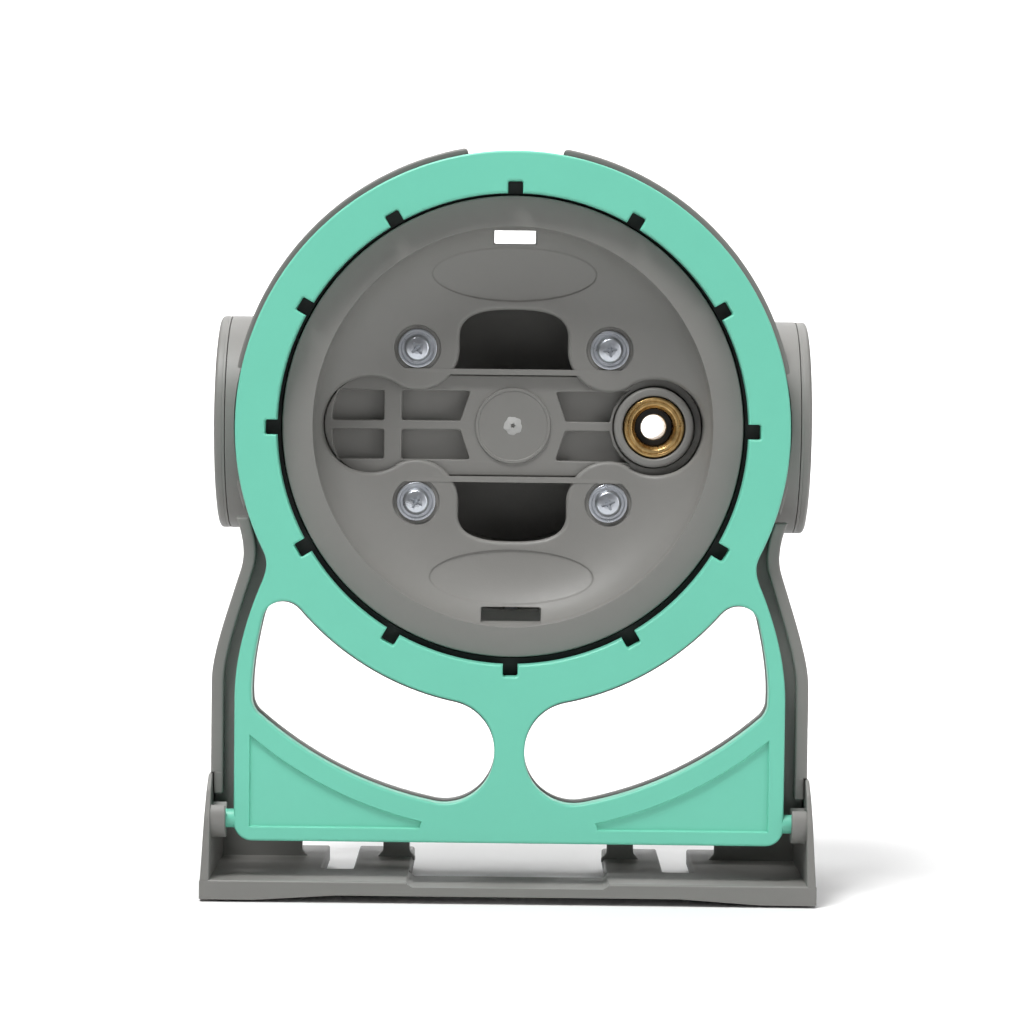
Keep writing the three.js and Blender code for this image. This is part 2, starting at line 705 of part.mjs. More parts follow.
function connector() {
  const seat = CHANNEL_FLOOR - GAP;
  const mouth = -25.5;
  const collar = [
    [14, mouth - 0.5], [17.6, mouth - 0.5], [17.9, seat], [14, seat], [14, mouth - 0.5],
  ];
  node('connector_collar', 'grey', turnedY(collar, CONNECTOR_X, DRUM_Z, 24));
  const brass = [
    [5.5, 16], [5.5, -16], [8.7, -16], [8.7, mouth], [13.5, mouth], [13.5, seat],
    [10.5, seat], [10.5, -1], [8.5, -1], [8.5, 16], [5.5, 16],
  ];
  node('brass_connector', 'brass', turnedY(brass, CONNECTOR_X, DRUM_Z, 20));
  node('connector_washer', 'rubber',
    turnedY(ringProfile(5.8, 8.3, -17.8, -16.3), CONNECTOR_X, DRUM_Z, 14));
  const nutFront = CHANNEL_FLOOR + CHANNEL_WALL + GAP;
  const hexagon = circle(CONNECTOR_X, DRUM_Z, 15.5, 60);
  const nut = cut(plateY(hexagon, nutFront, nutFront + 5),
    rodY(10.9, CONNECTOR_X, DRUM_Z, nutFront - 1, nutFront + 6, 20));
  node('connector_nut', 'brass', nut);
}

function drumScrews() {
  const recess = -DISH_FLOOR + 1.2;
  atScrews((x, z, count) => {
    const washer = ringProfile(3, 8.6, recess - 1.3, recess - GAP);
    node(`drum_washer_${count}`, 'zinc', turnedY(washer, x, z, 12));
    const under = recess - 1.3 - GAP;
    const screw = [
      [0, under - 3.2], [3.5, under - 3.2], [6, under - 1.4], [6, under], [2, under], [2, -7],
      [0, -7],
    ];
    node(`drum_screw_${count}`, 'zinc', turnedY(screw, x, z, 10));
  });
}

// ---------------------------------------------------------------- crank

function crank() {
  const centre = [...arc(0, 0, 17, 0, 180, 15), ...arc(0, -CRANK_R, 16, 180, 360, 15)];
  let arm = plateY(shift(centre, 0, DRUM_Z), ...CRANK_Y);
  arm = cut(arm, rodY(3.3, 0, DRUM_Z, CRANK_Y[0] - 1, CRANK_Y[1] + 1, 16));
  arm = cut(arm, rodY(3.3, 0, DRUM_Z - CRANK_R, CRANK_Y[0] - 1, CRANK_Y[1] + 1, 16));
  node('crank_arm', 'grey', arm);
  const washerBack = CRANK_Y[1] + GAP + 1.2;
  node('crank_washer', 'zinc',
    turnedY(ringProfile(3.4, 8, CRANK_Y[1] + GAP, washerBack), 0, DRUM_Z, 14));
  const head = washerBack + GAP;
  const bolt = [[0, 35], [3, 35], [3, head], [6, head], [5, head + 4], [0, head + 4]];
  node('crank_bolt', 'zinc', turnedY(bolt, 0, DRUM_Z, 12));
  const pin = [
    [0, CRANK_Y[0]], [3, CRANK_Y[0]], [3, KNOB_END - 4], [5, KNOB_END - 4], [5, KNOB_END - 2],
    [0, KNOB_END - 2],
  ];
  node('knob_pin', 'zinc', turnedY(pin, 0, DRUM_Z - CRANK_R, 12));
  const start = CRANK_Y[1] + 0.7;
  const knob = [
    [3.4, start], [9.5, start], [10.5, 70], [12.5, 84], [12, KNOB_END - 4], [9, KNOB_END],
    [5.5, KNOB_END], [5.5, KNOB_END - 4 - GAP], [3.4, KNOB_END - 4 - GAP], [3.4, start],
  ];
  node('crank_knob', 'mint', turnedY(knob, 0, DRUM_Z - CRANK_R, 16));
}

// ---------------------------------------------------------------- carry handle

function carryHandle() {
  const slope = HANDLE_REST_DEG;
  const gripY = HANDLE_R * Math.cos(slope * DEG);
  const gripZ = DRUM_Z + HANDLE_R * Math.sin(slope * DEG);
  const arm = [
    ...arc(gripY, gripZ, 15, slope - 90, slope + 90, 22.5),
    ...arc(0, DRUM_Z, HUB_R, slope + 22, slope + 338, 15),
  ];
  for (const [name, side] of Object.entries(SIDES)) {
    let body = plateX(arm, side * ARM_X[0], side * ARM_X[1]);
    body = join(body, rodX(HUB_R, 0, DRUM_Z, side * (HUB_BOSS_X + GAP), side * ARM_X[1], 28));
    body = cut(body, rodX(5.4, 0, DRUM_Z, side * 120, side * 140, 12));
    body = cut(body, rodX(20.3, 0, DRUM_Z, side * (HUB_FACE_X - 3.6), side * 140, 20));
    body = cut(body, rodX(2.5, gripY, gripZ, side * 120, side * 140, 8));
    node(`handle_arm_${name}`, 'grey', body);
    const cap = [[0, side * (HUB_FACE_X - 1.2)], [20, side * (HUB_FACE_X - 1.2)],
      [20, side * (HUB_FACE_X - 0.4)], [0, side * HUB_FACE_X]];
    node(`hub_cap_${name}`, 'grey', turnedX(cap, 0, DRUM_Z, 20));
    const bolt = [[0, side * 117], [5, side * 117], [5, side * (HUB_FACE_X - 3.3)],
      [9, side * (HUB_FACE_X - 3.3)], [9, side * (HUB_FACE_X - 1.5)], [0, side * (HUB_FACE_X - 1.5)]];
    node(`pivot_bolt_${name}`, 'zinc', turnedX(bolt, 0, DRUM_Z, 12));
    const screw = [[0, side * 110], [2, side * 110], [2, side * (ARM_X[1] + GAP)],
      [4.2, side * (ARM_X[1] + GAP)], [3.6, side * (ARM_X[1] + 1.8)], [0, side * (ARM_X[1] + 2.2)]];
    node(`grip_screw_${name}`, 'zinc', turnedX(screw, gripY, gripZ, 8));
  }
  const end = ARM_X[0] - GAP;
  let grip = rodX(GRIP_R, gripY, gripZ, -end, end, 16);
  for (const side of Object.values(SIDES)) {
    grip = cut(grip, rodX(2.4, gripY, gripZ, side * 108, side * 140, 8));
  }
  node('handle_grip', 'grey', grip);
  node('grip_sleeve', 'rubber', turnedX(ringProfile(GRIP_R + GAP, SLEEVE_R, -65, 65), gripY, gripZ, 16));
}

// ---------------------------------------------------------------- assembly

basePlate();
feetAndSideScrews();
standFrame('front', -1);
standFrame('rear', 1);
bearing('bearing_front', -1);
bearing('bearing_rear', 1);
guard('guard_left', -1);
guard('guard_right', 1);
frontCover();
drumFront();
drumRear();
drumCore();
hubBridge();
connector();
drumScrews();
crank();
carryHandle();

export default reel;
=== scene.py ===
"""Free-standing garden hose reel: mint front cover, dished drum, grey stand, crank and handle."""
import json
import math

import bmesh
import bpy
import numpy as np
from bpy.props import FloatProperty, FloatVectorProperty, PointerProperty
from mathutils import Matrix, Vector
from mathutils.geometry import delaunay_2d_cdt, tessellate_polygon


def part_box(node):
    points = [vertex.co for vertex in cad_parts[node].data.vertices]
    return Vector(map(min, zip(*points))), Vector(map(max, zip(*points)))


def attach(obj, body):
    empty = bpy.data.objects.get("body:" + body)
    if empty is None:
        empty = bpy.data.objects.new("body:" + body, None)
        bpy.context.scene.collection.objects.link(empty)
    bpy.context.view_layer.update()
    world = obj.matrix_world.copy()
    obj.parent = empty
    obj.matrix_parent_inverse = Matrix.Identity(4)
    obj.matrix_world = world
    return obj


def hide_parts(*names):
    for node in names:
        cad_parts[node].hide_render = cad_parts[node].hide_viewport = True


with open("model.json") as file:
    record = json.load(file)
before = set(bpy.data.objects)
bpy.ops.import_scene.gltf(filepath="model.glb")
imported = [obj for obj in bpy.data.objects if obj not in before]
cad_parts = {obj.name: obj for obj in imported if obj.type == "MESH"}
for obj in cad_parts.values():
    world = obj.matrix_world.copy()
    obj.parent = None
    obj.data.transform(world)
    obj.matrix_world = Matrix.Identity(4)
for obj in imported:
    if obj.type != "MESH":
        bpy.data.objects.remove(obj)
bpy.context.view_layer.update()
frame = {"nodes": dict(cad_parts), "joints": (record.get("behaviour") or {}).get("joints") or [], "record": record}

bl_info = {
    "name": "Garden Hose Reel",
    "version": (1, 0, 0),
    "blender": (4, 5, 0),
    "location": "3D View > Sidebar > Hose Reel",
    "description": "Builds a garden hose reel piece by piece around its packed frame",
    "category": "Object",
}

MM = 0.001


def joint_place(name):
    """The place of a joint, in metres."""
    joint = next(j for j in frame["joints"] if j["name"] == name)
    return Vector(joint["pos_m"])


SPIN = joint_place("drum_spin")
HINGE = joint_place("cover_hinge")
MID_Y = SPIN.y  # the drum's mid-plane; pieces are drawn in millimetres from it and the ground


def span(node):
    """Lowest and highest corner of a node, in millimetres from the drum's mid-plane."""
    corners = []
    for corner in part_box(node):
        corners.append(Vector((corner.x, corner.y - MID_Y, corner.z)) / MM)
    return corners


# Heights and depths that come from the frame
DRUM_Z = SPIN.z / MM
PIN_Y = (HINGE.y - MID_Y) / MM
PIN_Z = HINGE.z / MM
COVER_LOW, COVER_HIGH = span("front_cover")
BASE_LOW, BASE_HIGH = span("base_plate")
RIM_FACE = -span("drum_front")[0].y
FLANGE_R = span("drum_front")[1].x
LEFT, RIGHT = -1, 1
SIDES = {"left": LEFT, "right": RIGHT}

# Cover
COVER_Z = 206.6
RING_R = 121
BORE_R = 102.8
NOTCH_R = 107.9
NOTCH_HALF = 3.25
NOTCHES = 12
SIDE_X = 120.2
BOTTOM = -181
CORNER_R = 8
PIN_R = 4.1
PANEL_DEPTH = 1.4
PANEL_DRAFT = 0.35
PANEL_ARC_R = 175.9
PANEL_SIDE_X = 113.4
PANEL_BOTTOM = -174.8
PANEL_TIP_X = 39

# Windows
WINDOW_IN_R = 121
WINDOW_OUT_R = 166.6
STRUT_HALF = 6.6
STRUT_FILLET = 21.8
REAR_WINDOW_SCALE = 1.065
REAR_WINDOW_DROP = 2.2

# Stand
WEB_IN = 35
WEB_OUT = 41
FLANGE_OUT = 47.7
LEG_FLANGE = 5.5
FRAME_RING_R = 120
LEG_X = 131
FOOT_Z = {"front": 30, "rear": 16}
CHEEK_TOP = 54
CHEEK_IN = 130
SEAT_R = 104.8
BEARING_R = 101.5
GUARD_OUT_R = 123.8
GUARD_IN_R = 120.3
GUARD_LOW_DEG = -17.5
GUARD_TOP_DEG = 79.3
HUB_R = 47.6
BOSS_X = 126
DISC_X = 130.9
BASE_X = BASE_HIGH.x + 0.9
FLOOR_TOP = 9.6
BASE_UNDER = 1
SCREW_Y = 30
SCREW_Z_SIDE = 44
CHEEK_LEAN = 0.6  # share of its thickness that a cheek loses at its top
BASE_REAR = 44
SEAT_FACE_X = 123.6
PIN_SEAT_R = 8.4
REAR_RIBS = (70, 100)

# Drum
RIM_OUT_R = 100.8
RIM_IN_R = 87.5
DISH_FLOOR = 24
SHELL = 2.5
BOWL_START = 50
FLANGE_Y = (31.3, 34.3)
SCREW_X = 42.65
SCREW_Z = 34
BOSS_LOBE_R = 18.7
SIDE_LOBE_X = 63
SIDE_LOBE_R = 21.3
LOBE_TOP = 51.5
LOBE_HALF = 24
CHANNEL_HALF = 22.6
CHANNEL_FLOOR = -12
CHANNEL_WALL = 2.5
CHANNEL_END = 84.3
CONNECTOR_X = 62.6
SLOT_R = 83.3
REAR_SLOT_R = (82.4, 90.4)
UPPER_SLOT = (9.5, 1)  # half width, side of the axis
LOWER_SLOT = (13.2, -1)
OVAL_Z = 67
OVAL_X_R = 36.7
OVAL_Z_R = 12.2
OVAL_DEPTH = 0.75
OVAL_RIM = 1.0
SINK_R = 10.2
SINK_DEPTH = 1.2
CORE_R = (53, 56)
POST_R = 8

# Crank and handle
CRANK_Y = (50.3, 58.3)
CRANK_R = 88
HANDLE_R = 165
HANDLE_DEG = 12
ARM_X = (127, DISC_X)
GRIP_R = 10.5
SLEEVE_R = 13.5
SLEEVE_HALF = 65
PIVOT_R = 5
PIVOT_HEAD = (9, 127.6, 129.3)  # radius, near face, far face
CAP_R = 20


# ---------------------------------------------------------------- outlines

def arc(cx, cy, r, start, end, step=3.0):
    """Points on an arc, angles in degrees."""
    count = max(2, math.ceil(abs(end - start) / step))
    points = []
    for i in range(count + 1):
        a = math.radians(start + (end - start) * i / count)
        points.append((cx + r * math.cos(a), cy + r * math.sin(a)))
    return points


def circle(cx, cy, r, count=64):
    """Points of a whole circle."""
    return arc(cx, cy, r, 0, 360, 360 / count)[:-1]


def bezier(p0, p1, p2, p3, count=14):
    """Points on a cubic curve."""
    points = []
    for i in range(count + 1):
        t = i / count
        s = 1 - t
        weights = (s ** 3, 3 * s * s * t, 3 * s * t * t, t ** 3)
        points.append(tuple(sum(w * p[k] for w, p in zip(weights, (p0, p1, p2, p3)))
                            for k in (0, 1)))
    return points


def tidy(points):
    """The loop without points that repeat their neighbour."""
    kept = []
    for p in points:
        if not kept or math.dist(p, kept[-1]) > 0.02:
            kept.append(p)
    if math.dist(kept[0], kept[-1]) < 0.02:
        kept.pop()
    return kept


def moved(points, dx, dy):
    """The points, moved in their plane."""
    return [(x + dx, y + dy) for x, y in points]


def mirrored(points):
    """The loop's mirror image, still run the same way round."""
    return [(-x, y) for x, y in reversed(points)]


def handed(points, side):
    """The loop of the right side, or its mirror image for the left."""
    return points if side > 0 else mirrored(points)


def rectangle(x0, x1, y0, y1):
    return [(x0, y0), (x1, y0), (x1, y1), (x0, y1)]


def signed_area(points):
    total = 0
    for (x0, y0), (x1, y1) in zip(points, points[1:] + points[:1]):
        total += x0 * y1 - x1 * y0
    return total / 2


def turned_round(points, positive):
    """The loop, run anticlockwise if positive."""
    return points if (signed_area(points) > 0) == positive else points[::-1]


def offset_loop(points, distance):
    """The loop moved to its left by a distance."""
    result = []
    count = len(points)
    for i in range(count):
        before = Vector(points[i]) - Vector(points[i - 1])
        after = Vector(points[(i + 1) % count]) - Vector(points[i])
        n0 = Vector((-before.y, before.x)).normalized()
        n1 = Vector((-after.y, after.x)).normalized()
        middle = n0 + n1
        if middle.length < 1e-6:
            middle = n0.copy()
        middle.normalize()
        reach = distance / max(0.5, middle.dot(n0))
        result.append((points[i][0] + middle.x * reach, points[i][1] + middle.y * reach))
    return result


def filleted(points, radius, closed=True, steps=4):
    """A polyline whose corners are rounded; a point may carry its own radius as a third value."""
    result = []
    count = len(points)
    for i in range(count):
        p = points[i]
        corner = Vector(p[:2])
        r = p[2] if len(p) > 2 else radius
        if r <= 0 or (not closed and i in (0, count - 1)):
            result.append(tuple(corner))
            continue
        before = Vector(points[i - 1][:2]) - corner
        after = Vector(points[(i + 1) % count][:2]) - corner
        angle = before.angle(after, math.pi)
        if angle > math.radians(176) or angle < math.radians(4):
            result.append(tuple(corner))
            continue
        reach = min(r / math.tan(angle / 2), before.length * 0.49, after.length * 0.49)
        start = corner + before.normalized() * reach
        end = corner + after.normalized() * reach
        for k in range(steps + 1):
            t = k / steps
            bent = start * (1 - t) ** 2 + corner * (2 * t * (1 - t)) + end * t * t
            result.append(tuple(bent))
    return result


# ---------------------------------------------------------------- solids

def along_y(u, v, w):
    return (u, w, v)


def along_x(u, v, w):
    return (w, u, v)


def along_z(u, v, w):
    return (u, v, w)


class Solid:
    """The vertices and faces of one piece, in millimetres."""

    def __init__(self):
        self.verts = []
        self.faces = []

    def ring(self, points):
        start = len(self.verts)
        self.verts.extend(points)
        return list(range(start, len(self.verts)))

    def strip(self, first, second, closed=True):
        """Faces between two rows of vertices of the same length."""
        count = len(first)
        for i in range(count if closed else count - 1):
            k = (i + 1) % count
            face = []
            for index in (first[i], first[k], second[k], second[i]):
                if index not in face:
                    face.append(index)
            if len(face) > 2:
                self.faces.append(tuple(face))

    def cap(self, rings, loops):
        """Fills the space between rings of vertices, given their loops in the plane."""
        flat = [index for ring in rings for index in ring]
        plane = [[Vector((x, y, 0)) for x, y in loop] for loop in loops]
        for a, b, c in tessellate_polygon(plane):
            self.faces.append((flat[a], flat[b], flat[c]))

    def add(self, other):
        start = len(self.verts)
        self.verts.extend(other.verts)
        self.faces.extend(tuple(i + start for i in face) for face in other.faces)
        return self


def plate(outline, holes, front, back, axis=along_y, edge=0.8, back_edge=None, steps=3,
          recesses=()):
    """A plate between two distances on its axis, rounded round its outline and its holes.

    A recess is (loop, depth, draft): it sinks into the front face and has a floor.
    """
    solid = Solid()
    back_edge = edge if back_edge is None else back_edge
    sense = 1 if back > front else -1
    through = [turned_round(tidy(outline), True)]
    through += [turned_round(tidy(hole), False) for hole in holes]
    front_rings, front_loops, back_rings, back_loops = [], [], [], []

    def rounded_rings(loop, face, radius, inward):
        rings, loops = [], []
        for k in range(steps + 1):
            a = math.pi / 2 * k / steps
            inset = radius * (1 - math.sin(a))
            depth = face + inward * radius * (1 - math.cos(a))
            shifted = offset_loop(loop, inset)
            rings.append(solid.ring([axis(u, v, depth) for u, v in shifted]))
            loops.append(shifted)
        return rings, loops

    for loop in through:
        rings, loops = rounded_rings(loop, front, edge, sense)
        ends, end_loops = rounded_rings(loop, back, back_edge, -sense)
        for first, second in zip(rings, rings[1:]):
            solid.strip(first, second)
        for first, second in zip(ends, ends[1:]):
            solid.strip(first, second)
        solid.strip(rings[-1], ends[-1])
        front_rings.append(rings[0])
        front_loops.append(loops[0])
        back_rings.append(ends[0])
        back_loops.append(end_loops[0])
    for recess, depth, draft in recesses:
        loop = turned_round(tidy(recess), False)
        rings, loops = rounded_rings(loop, front, 0.35, sense)
        for first, second in zip(rings, rings[1:]):
            solid.strip(first, second)
        floor = offset_loop(loop, -draft)
        floor_ring = solid.ring([axis(u, v, front + sense * depth) for u, v in floor])
        solid.strip(rings[-1], floor_ring)
        solid.cap([floor_ring], [floor])
        front_rings.append(rings[0])
        front_loops.append(loops[0])
    solid.cap(front_rings, front_loops)
    solid.cap(back_rings, back_loops)
    return solid


def turned(profile, axis=along_y, centre=(0, 0), count=96, closed=False, wave=None):
    """A profile of (radius, distance) pairs turned about an axis; a wave changes its radius."""
    solid = Solid()
    rings = []
    for r, w in profile:
        if r < 1e-6:
            rings.append(solid.ring([axis(centre[0], centre[1], w)]) * count)
            continue
        ring = []
        for i in range(count):
            a = 2 * math.pi * i / count
            radius = r + (wave(a, r, w) if wave else 0)
            ring.append(axis(centre[0] + radius * math.cos(a), centre[1] + radius * math.sin(a), w))
        rings.append(solid.ring(ring))
    for first, second in zip(rings, rings[1:]):
        solid.strip(first, second)
    if closed:
        solid.strip(rings[-1], rings[0])
    return solid


def rod(r, start, end, edge=0.5, **options):
    """A round bar with rounded ends."""
    profile = filleted([(0, start), (r, start), (r, end), (0, end)], edge, closed=False)
    return turned(profile, **options)


def tube(inner, outer, start, end, edge=0.4, **options):
    """A round ring with rounded edges."""
    corners = [(inner, start), (outer, start), (outer, end), (inner, end)]
    return turned(filleted(corners, edge), closed=True, **options)


def block(x0, x1, y0, y1, z0, z1, edge=0.6):
    """A box with rounded edges."""
    low, high = sorted((z0, z1))
    outline = filleted(rectangle(min(x0, x1), max(x0, x1), min(y0, y1), max(y0, y1)), edge * 1.5)
    return plate(outline, [], low, high, axis=along_z, edge=edge)


# ---------------------------------------------------------------- pieces

def mesh_object(name, solid):
    """A mesh in metres, in the row frame."""
    mesh = bpy.data.meshes.new(name)
    points = [(x * MM, y * MM + MID_Y, z * MM) for x, y, z in solid.verts]
    mesh.from_pydata(points, [], solid.faces)
    cleaner = bmesh.new()
    cleaner.from_mesh(mesh)
    bmesh.ops.remove_doubles(cleaner, verts=cleaner.verts, dist=2e-6)
    bmesh.ops.dissolve_degenerate(cleaner, edges=cleaner.edges, dist=1e-6)
    bmesh.ops.recalc_face_normals(cleaner, faces=cleaner.faces)
    cleaner.to_mesh(mesh)
    cleaner.free()
    result = bpy.data.objects.new(name, mesh)
    bpy.context.scene.collection.objects.link(result)
    return result


def cut(target, *solids):
    """Takes solids away from an object; the result replaces its mesh."""
    for number, solid in enumerate(solids):
        tool = mesh_object(f"{target.name}_tool_{number}", solid)
        modifier = target.modifiers.new("cut", "BOOLEAN")
        modifier.operation = "DIFFERENCE"
        modifier.solver = "EXACT"
        modifier.object = tool
        bpy.context.view_layer.update()
        graph = bpy.context.evaluated_depsgraph_get()
        mesh = bpy.data.meshes.new_from_object(target.evaluated_get(graph))
        target.modifiers.clear()
        target.data = mesh
        bpy.data.objects.remove(tool)
    return target


def finished(result, material, body, nodes, sharp_deg=38):
    """Shades a piece, gives it its material and ties it to its body."""
    result.data.materials.clear()
    result.data.materials.append(material)
    result.data.shade_smooth()
    result.data.set_sharp_from_angle(angle=math.radians(sharp_deg))
    smooth = result.modifiers.new("even shading", "WEIGHTED_NORMAL")
    smooth.keep_sharp = True
    smooth.weight = 60
    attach(result, body)
    if nodes:
        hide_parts(*nodes)
    return result


# ---------------------------------------------------------------- the reel's own outlines

def symmetric(half):
    """A whole loop from its right half, which runs from the bottom to the top."""
    return tidy(half + mirrored(half))


def cover_outline():
    half = [(0, BOTTOM)]
    half += arc(SIDE_X - CORNER_R, BOTTOM + CORNER_R, CORNER_R, -90, 0, 7)
    half += bezier((SIDE_X, -118), (SIDE_X, -98), (113.5, -79), (108.6, -67.5))
    half += bezier((108.6, -67.5), (106.3, -61.8), (106.3, -58.3), (108, -54.6), 8)
    half += arc(0, 0, RING_R, -26.8, 90, 2)
    return moved(symmetric(half), 0, COVER_Z)


def notched_bore():
    """The bore of the cover ring, with its square notches."""
    points = []
    pitch = 360 / NOTCHES
    half = math.degrees(math.asin(NOTCH_HALF / BORE_R))
    for i in range(NOTCHES):
        a = math.radians(i * pitch)
        corners = []
        for side in (-1, 1):
            x = NOTCH_R * math.cos(a) - side * NOTCH_HALF * math.sin(a)
            z = NOTCH_R * math.sin(a) + side * NOTCH_HALF * math.cos(a)
            corners.append(Vector((x, z)))
        along = (corners[1] - corners[0]).normalized()
        inward = -Vector((math.cos(a), math.sin(a)))
        round_off = 0.6
        points += [tuple(corners[0] + inward * round_off), tuple(corners[0] + along * round_off)]
        points += [tuple(corners[1] - along * round_off), tuple(corners[1] + inward * round_off)]
        points += arc(0, 0, BORE_R, i * pitch + half, (i + 1) * pitch - half, 2)
    return moved(points, 0, COVER_Z)


def window_right():
    """A ring-shaped slot with a round end beside the middle strut."""
    x = STRUT_HALF + STRUT_FILLET
    low = -math.sqrt((WINDOW_OUT_R - STRUT_FILLET) ** 2 - x * x)
    high = -math.sqrt((WINDOW_IN_R + STRUT_FILLET) ** 2 - x * x)
    low_deg = math.degrees(math.atan2(low, x))
    high_deg = math.degrees(math.atan2(high, x))
    shoulder = (99, -85.3)
    shoulder_deg = math.degrees(math.atan2(shoulder[1], shoulder[0]))
    side_x = 112.9
    side_deg = -math.degrees(math.acos(side_x / WINDOW_OUT_R))
    points = arc(x, low, STRUT_FILLET, 180, 360 + low_deg, 5)
    points += arc(0, 0, WINDOW_OUT_R, low_deg, side_deg - 1.3, 2)
    points += bezier(points[-1], (110.9, -124.3), (side_x, -121.5), (side_x, -118), 6)[1:-1]
    points += bezier((side_x, -115), (side_x, -104), (110.2, -91), (108.3, -82.9), 8)
    points += arc(shoulder[0], shoulder[1], 9.6, 14.5, 180 + shoulder_deg, 8)
    points += arc(0, 0, WINDOW_IN_R, shoulder_deg, high_deg, 2)
    points += arc(x, high, STRUT_FILLET, 180 + high_deg, 180, 5)
    return tidy(points)


def windows(scale=1.0, drop=0.0):
    right = [(x * scale, z * scale - drop + COVER_Z) for x, z in window_right()]
    return [right, mirrored(right)]


def leg_edge():
    """Outer edge of the right leg, from the cheek to the side hub."""
    points = [(LEG_X, CHEEK_TOP + 0.3 - COVER_Z)]
    points += bezier((LEG_X, -112), (LEG_X, -100), (124.5, -82), (118.3, -62))
    points += bezier((118.3, -62), (116.8, -57), (117, -50), (120.6, -40), 8)
    return points


def lobed_opening():
    """The four-lobed opening in the front dish."""
    reach = math.degrees(math.atan2(-SCREW_Z, SIDE_LOBE_X - SCREW_X))
    quarter = arc(SIDE_LOBE_X, 0, SIDE_LOBE_R, 0, 180 + reach, 5)
    quarter += arc(SCREW_X, SCREW_Z, BOSS_LOBE_R, reach, -180, 5)
    quarter += arc(LOBE_HALF - 9.5, 40, 9.5, 0, 60, 6)
    quarter += bezier(quarter[-1], (14.2, 51), (8, LOBE_TOP), (0, LOBE_TOP), 8)
    upper = quarter + mirrored(quarter)
    lower = [(x, -z) for x, z in reversed(upper)]
    return tidy(upper + lower)


def rounded_slot(half_width, half_height):
    x = half_width - half_height
    return arc(x, 0, half_height, -90, 90, 4) + arc(-x, 0, half_height, 90, 270, 4)


def screw_places():
    return [(x, z) for z in (SCREW_Z, -SCREW_Z) for x in (-SCREW_X, SCREW_X)]


# ---------------------------------------------------------------- dish

BOWL_REACH = RIM_IN_R - BOWL_START
RIM_EDGE = 0.8
BOWL_RISE = RIM_FACE - RIM_EDGE - DISH_FLOOR
UNROLL = 31.0  # millimetres of unrolled surface for each radian of the bowl's curve


def bowl_angle(r):
    return np.arcsin(np.clip((r - BOWL_START) / BOWL_REACH, 0, 1))


def bowl_depth(r):
    """Distance of the dish's surface from the mid-plane."""
    return DISH_FLOOR + BOWL_RISE * (1 - np.cos(bowl_angle(r)))


def bowl_back(r):
    """Distance of the dish's hidden face from the mid-plane."""
    share = np.clip((r - BOWL_START) / (BOWL_REACH + SHELL), 0, 1)
    hidden = RIM_FACE - (RIM_FACE - DISH_FLOOR + SHELL) * np.sqrt(1 - share ** 2)
    return np.minimum(hidden, FLANGE_Y[0])


def unrolled(points):
    """Flat points moved out so that the steep part of the bowl has room."""
    flat = np.array(points, float)
    r = np.hypot(flat[:, 0], flat[:, 1])
    rho = np.where(r <= BOWL_START, r, BOWL_START + UNROLL * bowl_angle(r))
    return flat * (rho / np.maximum(r, 1e-9))[:, None]


def rolled(points):
    rho = np.hypot(points[:, 0], points[:, 1])
    angle = np.clip((rho - BOWL_START) / UNROLL, 0, math.pi / 2)
    r = np.where(rho <= BOWL_START, rho, BOWL_START + BOWL_REACH * np.sin(angle))
    return points * (r / np.maximum(rho, 1e-9))[:, None]


def distance_to(loop, points):
    """Distance of each point from a closed loop."""
    start = np.array(loop, float)
    step = np.roll(start, -1, axis=0) - start
    length = np.maximum((step ** 2).sum(1), 1e-12)
    gap = points[:, None, :] - start[None, :, :]
    t = np.clip((gap * step[None]).sum(2) / length[None], 0, 1)
    away = gap - t[:, :, None] * step[None]
    return np.sqrt((away ** 2).sum(2)).min(1)


def inside(loop, points):
    """Which points lie inside a closed loop."""
    a = np.array(loop, float)
    b = np.roll(a, -1, axis=0)
    x, z = points[:, :1], points[:, 1:]
    crosses = (a[None, :, 1] > z) != (b[None, :, 1] > z)
    height = b[None, :, 1] - a[None, :, 1]
    height = np.where(np.abs(height) < 1e-12, 1e-12, height)
    at = a[None, :, 0] + (z - a[None, :, 1]) / height * (b[None, :, 0] - a[None, :, 0])
    return (np.sum(crosses & (x < at), axis=1) % 2) == 1


def soft_step(t):
    t = np.clip(t, 0, 1)
    return t * t * (3 - 2 * t)


def ellipse(cx, cz, rx, rz, count=84):
    return [(cx + rx * x, cz + rz * z) for x, z in circle(0, 0, 1, count)]


